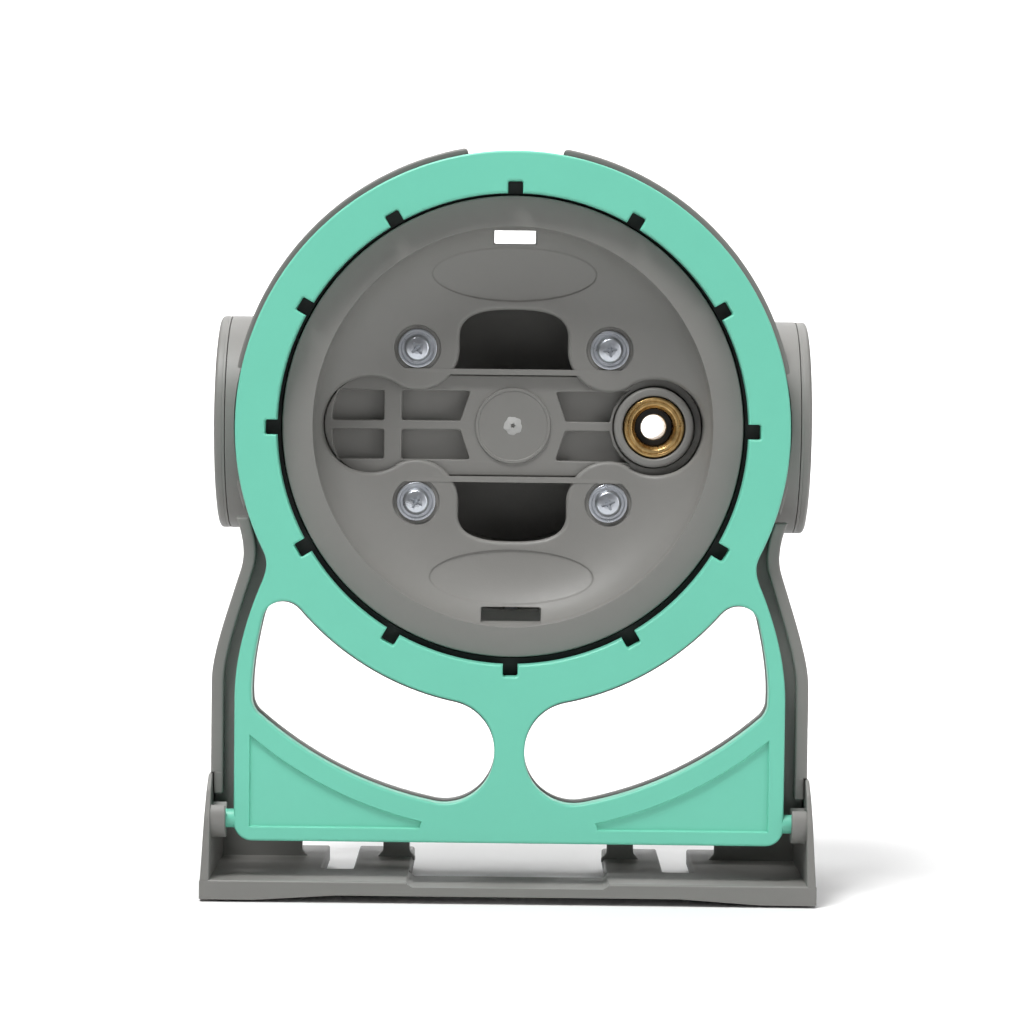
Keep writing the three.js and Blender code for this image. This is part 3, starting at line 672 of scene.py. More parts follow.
def dish(facing, openings, sinks, ovals, count=192):
    """A dished end of the drum, as one closed solid.

    Openings are (loop, edge radius), sinks are (x, z, radius, floor depth), ovals are loops.
    """
    loops = [circle(0, 0, RIM_IN_R, count)]
    opening_at = []
    for loop, radius in openings:
        opening_at.append(len(loops))
        hole = turned_round(loop, False)
        loops.append(hole)
        for share in (0.12, 0.3, 0.6, 1.0):
            loops.append(offset_loop(hole, radius * share))
    for x, z, radius, _floor in sinks:
        for step in (0.35, 0.1, -0.15, -0.4):
            loops.append(circle(x, z, radius + step, 48))
    for oval in ovals:
        for share in (0, 0.33, 0.67, 1.0):
            loops.append(offset_loop(turned_round(oval, True), OVAL_RIM * share))
    flat = [unrolled(loop) for loop in loops]
    edge = BOWL_START + UNROLL * math.pi / 2
    grid = [(0.01, 0.02)]
    rho = 3.0
    while rho < edge - 1.5:
        around = max(8, round(2 * math.pi * rho / 3.4))
        turn = 360 / around * 0.37
        grid += arc(0, 0, rho, turn, 360 + turn, 360 / around)[:-1]
        rho += 2.6
    grid = np.array(grid)
    borders = np.concatenate(flat)
    near = np.array([np.min(np.hypot(*(borders - p).T)) for p in grid])
    grid = grid[near > 1.3]
    for loop, _radius in openings:
        grid = grid[~inside(loop, rolled(grid))]
    points = np.concatenate([borders, grid])
    constraints = []
    start = 0
    for loop in flat:
        size = len(loop)
        constraints += [(start + i, start + (i + 1) % size) for i in range(size)]
        start += size
    result = delaunay_2d_cdt([Vector(p) for p in points], constraints, [], 0, 1e-5)
    out = rolled(np.array([tuple(v) for v in result[0]]))
    index_of = {}
    for index, originals in enumerate(result[3]):
        for original in originals:
            index_of[original] = index
    r = np.hypot(out[:, 0], out[:, 1])
    depth = bowl_depth(r)
    for x, z, radius, floor in sinks:
        t = soft_step((radius + 0.35 - np.hypot(out[:, 0] - x, out[:, 1] - z)) / 0.75)
        depth = depth * (1 - t) + floor * t
    for oval in ovals:
        t = soft_step(distance_to(oval, out) / OVAL_RIM) * inside(oval, out)
        depth = depth - OVAL_DEPTH * t
    for loop, radius in openings:
        away = np.clip(radius - distance_to(loop, out), 0, radius)
        depth = depth - (radius - np.sqrt(np.maximum(radius ** 2 - away ** 2, 0)))
    back = np.minimum(bowl_back(r), depth - 0.2)

    solid = Solid()
    top = solid.ring([(x, facing * d, z + DRUM_Z) for (x, z), d in zip(out, depth)])
    low = solid.ring([(x, facing * d, z + DRUM_Z) for (x, z), d in zip(out, back)])
    faces = [tuple(face) for face in result[2]]
    middles = np.array([out[list(face)].mean(0) for face in faces])
    solid_area = np.ones(len(faces), bool)
    for loop, _radius in openings:
        solid_area &= ~inside(loop, middles)
    for face, kept in zip(faces, solid_area):
        if kept:
            solid.faces.append(tuple(top[i] for i in face))
            solid.faces.append(tuple(low[i] for i in reversed(face)))
    starts = np.cumsum([0] + [len(loop) for loop in loops])
    for at in opening_at:
        ring = [index_of[i] for i in range(starts[at], starts[at + 1])]
        solid.strip([top[i] for i in ring], [low[i] for i in ring])
    rim = [index_of[i] for i in range(len(loops[0]))]
    profile = filleted([
        (RIM_IN_R, RIM_FACE - RIM_EDGE, 0),
        (RIM_IN_R, RIM_FACE), (RIM_OUT_R, RIM_FACE), (RIM_OUT_R, FLANGE_Y[1], 0.5),
        (FLANGE_R, FLANGE_Y[1]), (FLANGE_R, FLANGE_Y[0]), (RIM_IN_R, FLANGE_Y[0], 0),
    ], RIM_EDGE, closed=False)[1:-1]
    previous = [top[i] for i in rim]
    for radius, y in profile:
        ring = solid.ring([(x / RIM_IN_R * radius, facing * y, z / RIM_IN_R * radius + DRUM_Z)
                           for x, z in loops[0]])
        solid.strip(previous, ring)
        previous = ring
    solid.strip(previous, [low[i] for i in rim])
    return solid


def dish_slots(*shapes):
    """Slots near the wall of a dish, each with the radius of its edge."""
    slots = []
    for half, side in shapes:
        low, high = sorted((side * (SLOT_R - 3.3), side * (SLOT_R + 2.9)))
        slot = filleted(rectangle(-half, half, low, high), 0.7, steps=2)
        dense = []
        for i, p in enumerate(slot):
            q = slot[(i + 1) % len(slot)]
            parts = max(1, round(math.dist(p, q) / 2))
            dense += [(p[0] + (q[0] - p[0]) * k / parts, p[1] + (q[1] - p[1]) * k / parts)
                      for k in range(parts)]
        slots.append((dense, 0.5))
    return slots


def dish_ovals():
    return [ellipse(0, side * OVAL_Z, OVAL_X_R, OVAL_Z_R) for side in (1, -1)]


def channel():
    """The channel behind the front dish that holds the hub bridge."""
    solid = Solid()
    inner = rounded_slot(CHANNEL_END, CHANNEL_HALF)
    outer = rounded_slot(CHANNEL_END + CHANNEL_WALL, CHANNEL_HALF + CHANNEL_WALL)
    back = CHANNEL_FLOOR + CHANNEL_WALL
    bore = circle(CONNECTOR_X, DRUM_Z, 11, 48)

    def row(loop, y=None):
        points = []
        for x, z in loop:
            depth = -float(bowl_back(math.hypot(x, z))) - 0.3 if y is None else y
            points.append((x, depth, z + DRUM_Z))
        return solid.ring(points)

    outer_front, outer_back = row(outer), row(outer, back)
    inner_front, inner_floor = row(inner), row(inner, CHANNEL_FLOOR)
    solid.strip(outer_front, outer_back)
    solid.strip(outer_front, inner_front)
    solid.strip(inner_front, inner_floor)
    bore_front = solid.ring([(x, CHANNEL_FLOOR, z) for x, z in bore])
    bore_back = solid.ring([(x, back, z) for x, z in bore])
    solid.strip(bore_front, bore_back)
    lifted = moved(inner, 0, DRUM_Z)
    solid.cap([inner_floor, bore_front], [lifted, bore])
    solid.cap([outer_back, bore_back], [moved(outer, 0, DRUM_Z), bore])
    return solid


# ---------------------------------------------------------------- finishes

DUST = (0.52, 0.50, 0.46)
ZINC_CAST = (0.55, 0.62, 0.78)
TARNISH = (0.20, 0.10, 0.03)
TORN_GREY = (0.42, 0.42, 0.41)
TURNING_RINGS = 26000.0  # radians for each metre away from the axis


def add_node(tree, kind, **values):
    node = tree.nodes.new(kind)
    for name, value in values.items():
        setattr(node, name, value)
    return node


def new_group(name, inputs, outputs):
    """A node group with named inputs and outputs."""
    group = bpy.data.node_groups.new(name, "ShaderNodeTree")
    for label, kind, default in inputs:
        socket = group.interface.new_socket(name=label, in_out="INPUT", socket_type=kind)
        if default is not None:
            socket.default_value = default
    for label, kind in outputs:
        group.interface.new_socket(name=label, in_out="OUTPUT", socket_type=kind)
    return group, add_node(group, "NodeGroupInput"), add_node(group, "NodeGroupOutput")


NUMBER = "NodeSocketFloat"
COLOUR = "NodeSocketColor"


def math_node(tree, operation, first, second=0.0, clamp=False):
    node = add_node(tree, "ShaderNodeMath", operation=operation, use_clamp=clamp)
    for socket, value in zip(node.inputs, (first, second)):
        if isinstance(value, (int, float)):
            socket.default_value = value
        else:
            tree.links.new(value, socket)
    return node.outputs[0]


def mix_colour(tree, factor, first, second, blend="MIX"):
    node = add_node(tree, "ShaderNodeMix", data_type="RGBA", blend_type=blend)
    for socket, value in zip((node.inputs[0], node.inputs[6], node.inputs[7]),
                             (factor, first, second)):
        if isinstance(value, (int, float)):
            socket.default_value = value
        elif isinstance(value, tuple):
            socket.default_value = (*value[:3], 1)
        else:
            tree.links.new(value, socket)
    return node.outputs[2]


def noise(tree, scale, detail=3.0, roughness=0.55, vector=None):
    """Noise over the piece itself."""
    node = add_node(tree, "ShaderNodeTexNoise")
    node.inputs["Detail"].default_value = detail
    node.inputs["Roughness"].default_value = roughness
    if isinstance(scale, (int, float)):
        node.inputs["Scale"].default_value = scale
    else:
        tree.links.new(scale, node.inputs["Scale"])
    if vector is None:
        vector = add_node(tree, "ShaderNodeTexCoord").outputs["Object"]
    tree.links.new(vector, node.inputs["Vector"])
    return node.outputs["Fac"]


def grain_group():
    """The fine leather-like texture of a spark-eroded mould."""
    group, source, sink = new_group(
        "moulded_grain", [("Scale", NUMBER, 1800.0), ("Coarse", NUMBER, 0.4)],
        [("Height", NUMBER)])
    place = add_node(group, "ShaderNodeTexCoord").outputs["Object"]
    fine = noise(group, source.outputs["Scale"], 2.0, 0.5, place)
    cells = add_node(group, "ShaderNodeTexVoronoi", feature="SMOOTH_F1")
    group.links.new(place, cells.inputs["Vector"])
    group.links.new(math_node(group, "MULTIPLY", source.outputs["Scale"], 0.55),
                    cells.inputs["Scale"])
    pits = math_node(group, "MULTIPLY", cells.outputs["Distance"], source.outputs["Coarse"])
    group.links.new(math_node(group, "ADD", fine, pits), sink.inputs["Height"])
    return group


def drift_group():
    """Slow and fine changes of shade over a moulded or rolled surface."""
    group, source, sink = new_group(
        "shade_drift",
        [("Color", COLOUR, None), ("Amount", NUMBER, 0.05), ("Scale", NUMBER, 14.0)],
        [("Color", COLOUR), ("Shade", NUMBER)])
    slow = noise(group, source.outputs["Scale"], 3.0, 0.6)
    fast = noise(group, math_node(group, "MULTIPLY", source.outputs["Scale"], 23.0), 2.0, 0.5)
    both = math_node(group, "ADD", math_node(group, "MULTIPLY", slow, 0.75),
                     math_node(group, "MULTIPLY", fast, 0.25))
    centred = math_node(group, "SUBTRACT", both, 0.5)
    swing = math_node(group, "MULTIPLY", math_node(group, "MULTIPLY", centred, 2.0),
                      source.outputs["Amount"])
    factor = math_node(group, "ADD", swing, 1.0)
    grey = add_node(group, "ShaderNodeCombineColor")
    for socket in grey.inputs:
        group.links.new(factor, socket)
    shaded = mix_colour(group, 1.0, source.outputs["Color"], grey.outputs[0], "MULTIPLY")
    group.links.new(shaded, sink.inputs["Color"])
    group.links.new(both, sink.inputs["Shade"])
    return group


def wear_and_highlight_group():
    """A mask that is bright on edges, for worn edges and a painted highlight along them, broken up by small gaps.
    """
    group, source, sink = new_group(
        "edge_wear_and_highlight", [("Radius", NUMBER, 0.0006), ("Strength", NUMBER, 1.0)],
        [("Mask", NUMBER)])
    soft = add_node(group, "ShaderNodeBevel", samples=4)
    group.links.new(source.outputs["Radius"], soft.inputs["Radius"])
    true = add_node(group, "ShaderNodeNewGeometry")
    dot = add_node(group, "ShaderNodeVectorMath", operation="DOT_PRODUCT")
    group.links.new(soft.outputs[0], dot.inputs[0])
    group.links.new(true.outputs["Normal"], dot.inputs[1])
    turn = math_node(group, "SUBTRACT", 1.0, dot.outputs["Value"], clamp=True)
    broken = math_node(group, "MULTIPLY", turn, noise(group, 220.0, 4.0, 0.7))
    strong = math_node(group, "MULTIPLY", broken, source.outputs["Strength"], clamp=True)
    group.links.new(strong, sink.inputs["Mask"])
    return group


def dust_group():
    """A mask for the thin dust that settles on faces that look up."""
    group, source, sink = new_group("settled_dust", [("Amount", NUMBER, 0.1)],
                                    [("Mask", NUMBER)])
    geometry = add_node(group, "ShaderNodeNewGeometry")
    parts = add_node(group, "ShaderNodeSeparateXYZ")
    group.links.new(geometry.outputs["Normal"], parts.inputs[0])
    up = math_node(group, "MULTIPLY", parts.outputs["Z"], 1.2, clamp=True)
    patchy = math_node(group, "MULTIPLY", up, noise(group, 60.0, 5.0, 0.65))
    group.links.new(math_node(group, "MULTIPLY", patchy, source.outputs["Amount"], clamp=True),
                    sink.inputs["Mask"])
    return group


def place_group(tree, group, **values):
    node = add_node(tree, "ShaderNodeGroup", node_tree=group)
    for name, value in values.items():
        if isinstance(value, (int, float)):
            node.inputs[name].default_value = value
        elif isinstance(value, tuple):
            node.inputs[name].default_value = (*value[:3], 1)
        else:
            tree.links.new(value, node.inputs[name])
    return node


def start_material(name):
    material = bpy.data.materials.new(name)
    material.use_nodes = True
    tree = material.node_tree
    return material, tree, tree.nodes["Principled BSDF"]


def finish_bump(tree, shader, height, distance, strength):
    bump = add_node(tree, "ShaderNodeBump")
    bump.inputs["Strength"].default_value = strength
    bump.inputs["Distance"].default_value = distance
    tree.links.new(height, bump.inputs["Height"])
    tree.links.new(bump.outputs["Normal"], shader.inputs["Normal"])


def roughness_from(tree, shader, shade, low, high):
    spread = add_node(tree, "ShaderNodeMapRange")
    spread.inputs["From Min"].default_value = 0.3
    spread.inputs["From Max"].default_value = 0.7
    spread.inputs["To Min"].default_value = low
    spread.inputs["To Max"].default_value = high
    tree.links.new(shade, spread.inputs["Value"])
    tree.links.new(spread.outputs[0], shader.inputs["Roughness"])


def moulded(name, colour, groups, roughness, grain, grain_depth, wear_and_highlight, dust, drift=0.05,
            specular=0.5):
    """A moulded plastic or rubber."""
    material, tree, shader = start_material(name)
    shifted = place_group(tree, groups["drift"], Color=tuple(colour), Amount=drift)
    # Edges are mixed towards a lighter copy of the colour: partly wear, partly a painted highlight.
    worn_and_lit = place_group(tree, groups["wear_and_highlight"], Strength=wear_and_highlight)
    light = tuple(min(1.0, c * 1.35 + 0.03) for c in colour)
    edged = mix_colour(tree, worn_and_lit.outputs["Mask"], shifted.outputs["Color"], light)
    dusty = place_group(tree, groups["dust"], Amount=dust)
    dressed = mix_colour(tree, dusty.outputs["Mask"], edged, DUST)
    tree.links.new(dressed, shader.inputs["Base Color"])
    roughness_from(tree, shader, shifted.outputs["Shade"], roughness - 0.05, roughness + 0.05)
    shader.inputs["Specular IOR Level"].default_value = specular
    pores = place_group(tree, groups["grain"], Scale=grain)
    finish_bump(tree, shader, pores.outputs["Height"], grain_depth, 0.35)
    material.diffuse_color = (*colour, 1)
    return material


def plated(name, colour, groups):
    """Zinc-plated steel with a faint blue and yellow cast."""
    material, tree, shader = start_material(name)
    shifted = place_group(tree, groups["drift"], Color=tuple(colour), Amount=0.16, Scale=160.0)
    cast = noise(tree, 380.0, 2.0)
    tinted = mix_colour(tree, cast, shifted.outputs["Color"], ZINC_CAST, "MULTIPLY")
    mild = mix_colour(tree, 0.35, shifted.outputs["Color"], tinted)
    tree.links.new(mild, shader.inputs["Base Color"])
    shader.inputs["Metallic"].default_value = 1
    roughness_from(tree, shader, shifted.outputs["Shade"], 0.24, 0.42)
    pores = place_group(tree, groups["grain"], Scale=4200.0, Coarse=0.2)
    finish_bump(tree, shader, pores.outputs["Height"], 0.00004, 0.35)
    material.diffuse_color = (*colour, 1)
    return material


def turned_brass(name, colour, groups, centre):
    """Brass with fine turning rings about its axis and brown tarnish."""
    material, tree, shader = start_material(name)
    shifted = place_group(tree, groups["drift"], Color=tuple(colour), Amount=0.2, Scale=90.0)
    stain = noise(tree, 240.0, 5.0, 0.7)
    depth = math_node(tree, "MULTIPLY", math_node(tree, "SUBTRACT", stain, 0.42, clamp=True), 2.2,
                      clamp=True)
    stained = mix_colour(tree, depth, shifted.outputs["Color"], TARNISH)
    tree.links.new(stained, shader.inputs["Base Color"])
    shader.inputs["Metallic"].default_value = 1
    roughness_from(tree, shader, shifted.outputs["Shade"], 0.2, 0.38)
    place = add_node(tree, "ShaderNodeTexCoord")
    from_axis = add_node(tree, "ShaderNodeVectorMath", operation="SUBTRACT")
    tree.links.new(place.outputs["Object"], from_axis.inputs[0])
    from_axis.inputs[1].default_value = centre
    flat = add_node(tree, "ShaderNodeVectorMath", operation="MULTIPLY")
    flat.inputs[1].default_value = (1, 0, 1)
    tree.links.new(from_axis.outputs[0], flat.inputs[0])
    length = add_node(tree, "ShaderNodeVectorMath", operation="LENGTH")
    tree.links.new(flat.outputs[0], length.inputs[0])
    phase = math_node(tree, "MULTIPLY", length.outputs["Value"], TURNING_RINGS)
    rings = math_node(tree, "SINE", phase)
    finish_bump(tree, shader, rings, 0.00002, 0.25)
    material.diffuse_color = (*colour, 1)
    return material


FINISHES = {}


def prepare_finishes():
    """Builds every material once."""
    if FINISHES:
        return
    settings = bpy.context.scene.hose_reel_finishes
    groups = {"grain": grain_group(), "drift": drift_group(), "wear_and_highlight": wear_and_highlight_group(),
              "dust": dust_group()}
    FINISHES["mint_plastic"] = moulded(
        "mint_plastic", settings.mint, groups, 0.42, 1500.0, 0.00005, 0.9, 0.05, 0.045)
    FINISHES["grey_plastic"] = moulded(
        "grey_plastic", settings.grey, groups, 0.5, 1300.0, 0.00007, 1.0, 0.12, 0.07)
    FINISHES["black_nylon"] = moulded(
        "black_nylon", settings.black, groups, 0.5, 1700.0, 0.00005, 0.6, 0.08)
    FINISHES["rubber"] = moulded(
        "rubber", settings.rubber, groups, 0.78, 900.0, 0.0001, 0.4, 0.2, specular=0.3)
    FINISHES["gate_mark"] = moulded(
        "gate_mark", TORN_GREY, groups, 0.5, 2600.0, 0.0002, 0.6, 0.1, 0.35)
    FINISHES["zinc_steel"] = plated("zinc_steel", settings.zinc, groups)
    axis = (CONNECTOR_X * MM, MID_Y, DRUM_Z * MM)
    FINISHES["brass"] = turned_brass("brass", settings.brass, groups, axis)


# ---------------------------------------------------------------- building each piece

def piece(name, solid, finish, body, *nodes, slot=None):
    """One piece from one solid."""
    return finished(mesh_object(name, solid), FINISHES[finish], body, nodes)


def cross_recess(centre_u, centre_v, near, far, reach, turn_deg, axis=along_y, width=1.1):
    """A cross-shaped tool for a screw head."""
    w, r = width / 2, reach
    corners = [(r, -w), (r, w), (w, w), (w, r), (-w, r), (-w, w),
               (-r, w), (-r, -w), (-w, -w), (-w, -r), (w, -r), (w, -w)]
    a = math.radians(turn_deg)
    turned_corners = [(centre_u + x * math.cos(a) - y * math.sin(a),
                       centre_v + x * math.sin(a) + y * math.cos(a)) for x, y in corners]
    return plate(turned_corners, [], near, far, axis=axis, edge=0.05, steps=1)


def build_cover(settings):
    """The mint cover with its notched bore, windows, sunken corners and hinge pins."""
    top_deg = -math.degrees(math.acos(PANEL_SIDE_X / PANEL_ARC_R))
    tip_deg = -math.degrees(math.acos((PANEL_TIP_X - 1) / PANEL_ARC_R))
    panel = [(PANEL_TIP_X, PANEL_BOTTOM), (PANEL_SIDE_X, PANEL_BOTTOM)]
    panel += arc(0, 0, PANEL_ARC_R, top_deg, tip_deg, 2)
    panel = moved(panel, 0, COVER_Z)
    edge = settings.cover_edge / MM
    solid = plate(cover_outline(), [notched_bore()] + windows(), COVER_LOW.y, COVER_HIGH.y,
                  edge=edge, back_edge=0.5, steps=4,
                  recesses=[(handed(panel, side), PANEL_DEPTH, PANEL_DRAFT) for side in (1, -1)])
    for side in SIDES.values():
        profile = filleted([(0, side * (SIDE_X - 4)), (PIN_R, side * (SIDE_X - 4)),
                            (PIN_R, side * COVER_HIGH.x), (0, side * COVER_HIGH.x)], 0.9,
                           closed=False)
        solid.add(turned(profile, axis=along_x, centre=(PIN_Y, PIN_Z), count=48))
    piece("front_cover_shell", solid, "mint_plastic", "cover", "front_cover")


def build_front_dish():
    """The dished front of the drum, with its channel."""
    openings = [(lobed_opening(), 1.9)] + dish_slots(UPPER_SLOT, LOWER_SLOT)
    sinks = [(x, z, SINK_R, DISH_FLOOR - SINK_DEPTH) for x, z in screw_places()]
    solid = dish(-1, openings, sinks, dish_ovals())
    solid.add(channel())
    piece("drum_front_dish", solid, "grey_plastic", "drum", "drum_front")


def build_rear_dish():
    """The dished rear of the drum, with the boss that carries the crank."""
    openings = [(circle(CONNECTOR_X, 0, 9, 48), 1.0)] + dish_slots(LOWER_SLOT)
    shell = mesh_object("drum_rear_dish", dish(1, openings, [], dish_ovals()))
    low, high = (DRUM_Z + r for r in REAR_SLOT_R)
    half = UPPER_SLOT[0]
    notch = filleted(rectangle(-half, half, low, high), 0.7)
    cut(shell, plate(notch, [], DISH_FLOOR - 4, RIM_FACE + 2, edge=0.01, steps=1))
    finished(shell, FINISHES["grey_plastic"], "drum", ["drum_rear"])
    boss = [(0, DISH_FLOOR - 1), (18.5, DISH_FLOOR - 1), (18.5, DISH_FLOOR + 0.1, 0),
            (16.3, DISH_FLOOR + 2.6, 2), (16, CRANK_Y[0] - 0.3), (0, CRANK_Y[0] - 0.3)]
    solid = Solid()
    solid.add(turned(filleted(boss, 0.8, closed=False), centre=(0, DRUM_Z)))
    for turn in range(1, 7):  # the connector's side has no ribs
        a = math.radians(turn * 45 + 22.5)
        along = Vector((math.cos(a), math.sin(a)))
        across = Vector((-math.sin(a), math.cos(a))) * 0.9
        corners = []
        for reach, side in ((15, -1), (36, -1), (36, 1), (15, 1)):
            place = along * reach + across * side
            corners.append((place.x, place.y + DRUM_Z))
        solid.add(plate(corners, [], DISH_FLOOR + 7, DISH_FLOOR - 1, edge=0.5))
    piece("drum_rear_boss", solid, "grey_plastic", "drum")


def build_core():
    """The hollow core that the hose winds on, with its screw posts."""
    end = span("drum_core")[1].y
    core = mesh_object("drum_core_tube",
                       tube(*CORE_R, -end, end, 0.4, centre=(0, DRUM_Z), count=128))
    room = CHANNEL_WALL + 0.3
    slot = moved(rounded_slot(CHANNEL_END + room, CHANNEL_HALF + room), 0, DRUM_Z)
    cut(core,
        plate(slot, [], -end - 2, CHANNEL_FLOOR + room, edge=0.01, steps=1),
        rod(17, -end - 2, end + 2, 0, centre=(CONNECTOR_X, DRUM_Z)))
    finished(core, FINISHES["grey_plastic"], "drum", ["drum_core"])
    posts = Solid()
    for x, z in screw_places():
        posts.add(rod(POST_R, -end, end, 0.6, centre=(x, DRUM_Z + z), count=48))
    piece("drum_core_posts", posts, "grey_plastic", "drum")


def build_bridge():
    """The ribbed bridge across the drum's face, with its pockets and moulding gate."""
    low, high = span("hub_bridge")
    front = low.y + 0.6
    back = high.y
    floor = back - 2.2
    outline = moved(rounded_slot(CHANNEL_END - 0.4, CHANNEL_HALF - 0.3), 0, DRUM_Z)
    bay = circle(CONNECTOR_X, DRUM_Z, 18.2, 72)
    pockets = []
    for end in (1, -1):
        shapes = [
            [(-49.5, 2), (-23.5, 2), (-19, 15.3), (-49.5, 15.3)],
            [(23.5, 2), (43.5, 2), (46.6, 7.5), (50, 11.2), (54.4, 15.3), (19, 15.3)],
            [(-80.5, 2), (-57.4, 2), (-57.4, 15.3), (-77.5, 15.3), (-79.8, 9)],
        ]
        for shape in shapes:
            loop = filleted([(x, end * z) for x, z in shape], 1.1)
            pockets.append(moved(loop, 0, DRUM_Z))
    safe = [loop for loop in pockets
            if min(math.dist(p, (CONNECTOR_X, DRUM_Z)) for p in loop) > 18.4]
    clipped = [loop for loop in pockets if loop not in safe]
    shaped = []
    for loop in clipped:
        kept = []
        for x, z in loop:
            away = Vector((x - CONNECTOR_X, z - DRUM_Z))
            if away.length < 19.6:
                away = away.normalized() * 19.6
            kept.append((CONNECTOR_X + away.x, DRUM_Z + away.y))
        shaped.append(tidy(kept))
    solid = plate(outline, [bay] + safe + shaped, front, floor, edge=0.55, back_edge=0.05)
    solid.add(plate(outline, [bay], floor - 0.05, back, edge=0.05, back_edge=0.4))
    hub = [(0, front - 0.5), (15.3, front - 0.5), (15.6, front - 0.9), (16.6, front - 0.9),
           (17.1, front + 0.2), (17.1, front + 2), (0, front + 2)]
    solid.add(turned(filleted(hub, 0.25, closed=False), centre=(0, DRUM_Z), count=128))
    piece("hub_bridge_ribbed", solid, "grey_plastic", "drum", "hub_bridge")

    def broken(a, r, w):
        return 0.25 * math.sin(5 * a + r) + 0.18 * math.sin(9 * a + 2 * r) if 0.9 < r < 4.2 else 0

    gate = [(0, front - 0.2), (0.8, front - 0.3), (1.1, front - 1.3), (2.2, front - 1.2),
            (2.9, front - 0.9), (3.6, front - 0.75), (4.1, front - 0.45)]
    piece("moulding_gate", turned(gate, centre=(0, DRUM_Z), count=40, wave=broken),
          "gate_mark", "drum", slot="grey_plastic")


def build_connector():
    """The brass hose connector in its collar, with its washer and nut."""
    centre = (CONNECTOR_X, DRUM_Z)
    low, high = span("connector_collar")
    collar = [(14, high.y), (14, low.y + 0.1, 1.3), (17.7, low.y + 0.1, 1.7), (17.9, high.y)]
    piece("connector_collar_ring",
          turned(filleted(collar, 0.3, steps=6), centre=centre, count=128, closed=True),
          "grey_plastic", "drum", "connector_collar")
    mouth, tail = span("brass_connector")[0].y, span("brass_connector")[1].y
    brass = [(5.5, tail), (5.5, -16, 0.2), (8.4, -16.2, 0.2)]
    pitch = 1.6
    y = -17.0
    while y > mouth + 2.4:
        brass += [(9.1, y + 0.1, 0.1), (8.6, y - pitch / 2, 0.1)]
        y -= pitch
    brass += [(8.8, mouth + 1.5, 0.1), (9.9, mouth + 0.2, 0.2), (10.3, mouth, 0.2),
              (11.4, mouth, 0.1), (11.6, mouth + 0.35, 0.1), (11.9, mouth, 0.1),
              (12.9, mouth, 0.5), (13.5, mouth + 0.8, 0.4), (13.5, -12.3), (10.5, -12.3),
              (10.5, -1), (9.2, 1, 0.3), (8.5, 2), (9.0, 6, 0.2), (8.5, 6.3), (9.0, 10, 0.2),
              (8.5, 10.3), (9.0, 14, 0.2), (8.2, tail, 0.3)]
    piece("brass_hose_connector",
          turned(filleted(brass, 0.15, steps=3), centre=centre, count=128, closed=True),
          "brass", "drum", "brass_connector")
    front, back = span("connector_washer")[0].y, span("connector_washer")[1].y
    piece("connector_seal", tube(5.8, 8.3, front, back, 0.5, centre=centre), "rubber", "drum",
          "connector_washer")
    front, back = span("connector_nut")[0].y, span("connector_nut")[1].y
    hexagon = filleted(circle(centre[0], centre[1], 15.5, 6), 1.2)
    piece("connector_hex_nut",
          plate(hexagon, [circle(centre[0], centre[1], 10.9, 64)], front, back, edge=0.5),
          "brass", "drum", "connector_nut")


def pan_head(name, place, length_end, turn_deg, body, *nodes):
    """A pan-head screw that faces the front, with a cross recess."""
    x, z, top = place
    profile = [(0, length_end), (2, length_end), (2, top + 3.2, 0.1), (5.9, top + 3.2, 0.3),
               (6, top + 2.2, 0.9), (4.9, top + 0.75, 1.6), (2.6, top + 0.15, 1), (0, top)]
    screw = mesh_object(name, turned(filleted(profile, 0.2, closed=False, steps=5),
                                     centre=(x, z), count=72))
    cut(screw, cross_recess(x, z, top - 0.6, top + 1.9, 3.1, turn_deg),
        turned([(0, top - 0.6), (1.7, top - 0.6), (0.5, top + 2.3), (0, top + 2.3)],
               centre=(x, z), count=24))
    return finished(screw, FINISHES["zinc_steel"], body, nodes, 30)


def build_drum_screws():
    """The four screws in the front dish, with their washers."""
    turns = (38, 8, 64, 21)
    for number, ((x, z), turn) in enumerate(zip(screw_places(), turns), 1):
        low = span(f"drum_screw_{number}")[0].y
        pan_head(f"drum_pan_screw_{number}", (x, DRUM_Z + z, low), -8, turn, "drum",
                 f"drum_screw_{number}")
        front, back = (corner.y for corner in span(f"drum_washer_{number}"))
        profile = [(3, back), (8.6, back), (8.6, front, 0.4), (7.4, front, 0.2),
                   (7.1, front + 0.25, 0.2), (3, front + 0.2)]
        piece(f"drum_flat_washer_{number}",
              turned(filleted(profile, 0.2), centre=(x, DRUM_Z + z), count=72, closed=True),
              "zinc_steel", "drum", f"drum_washer_{number}")


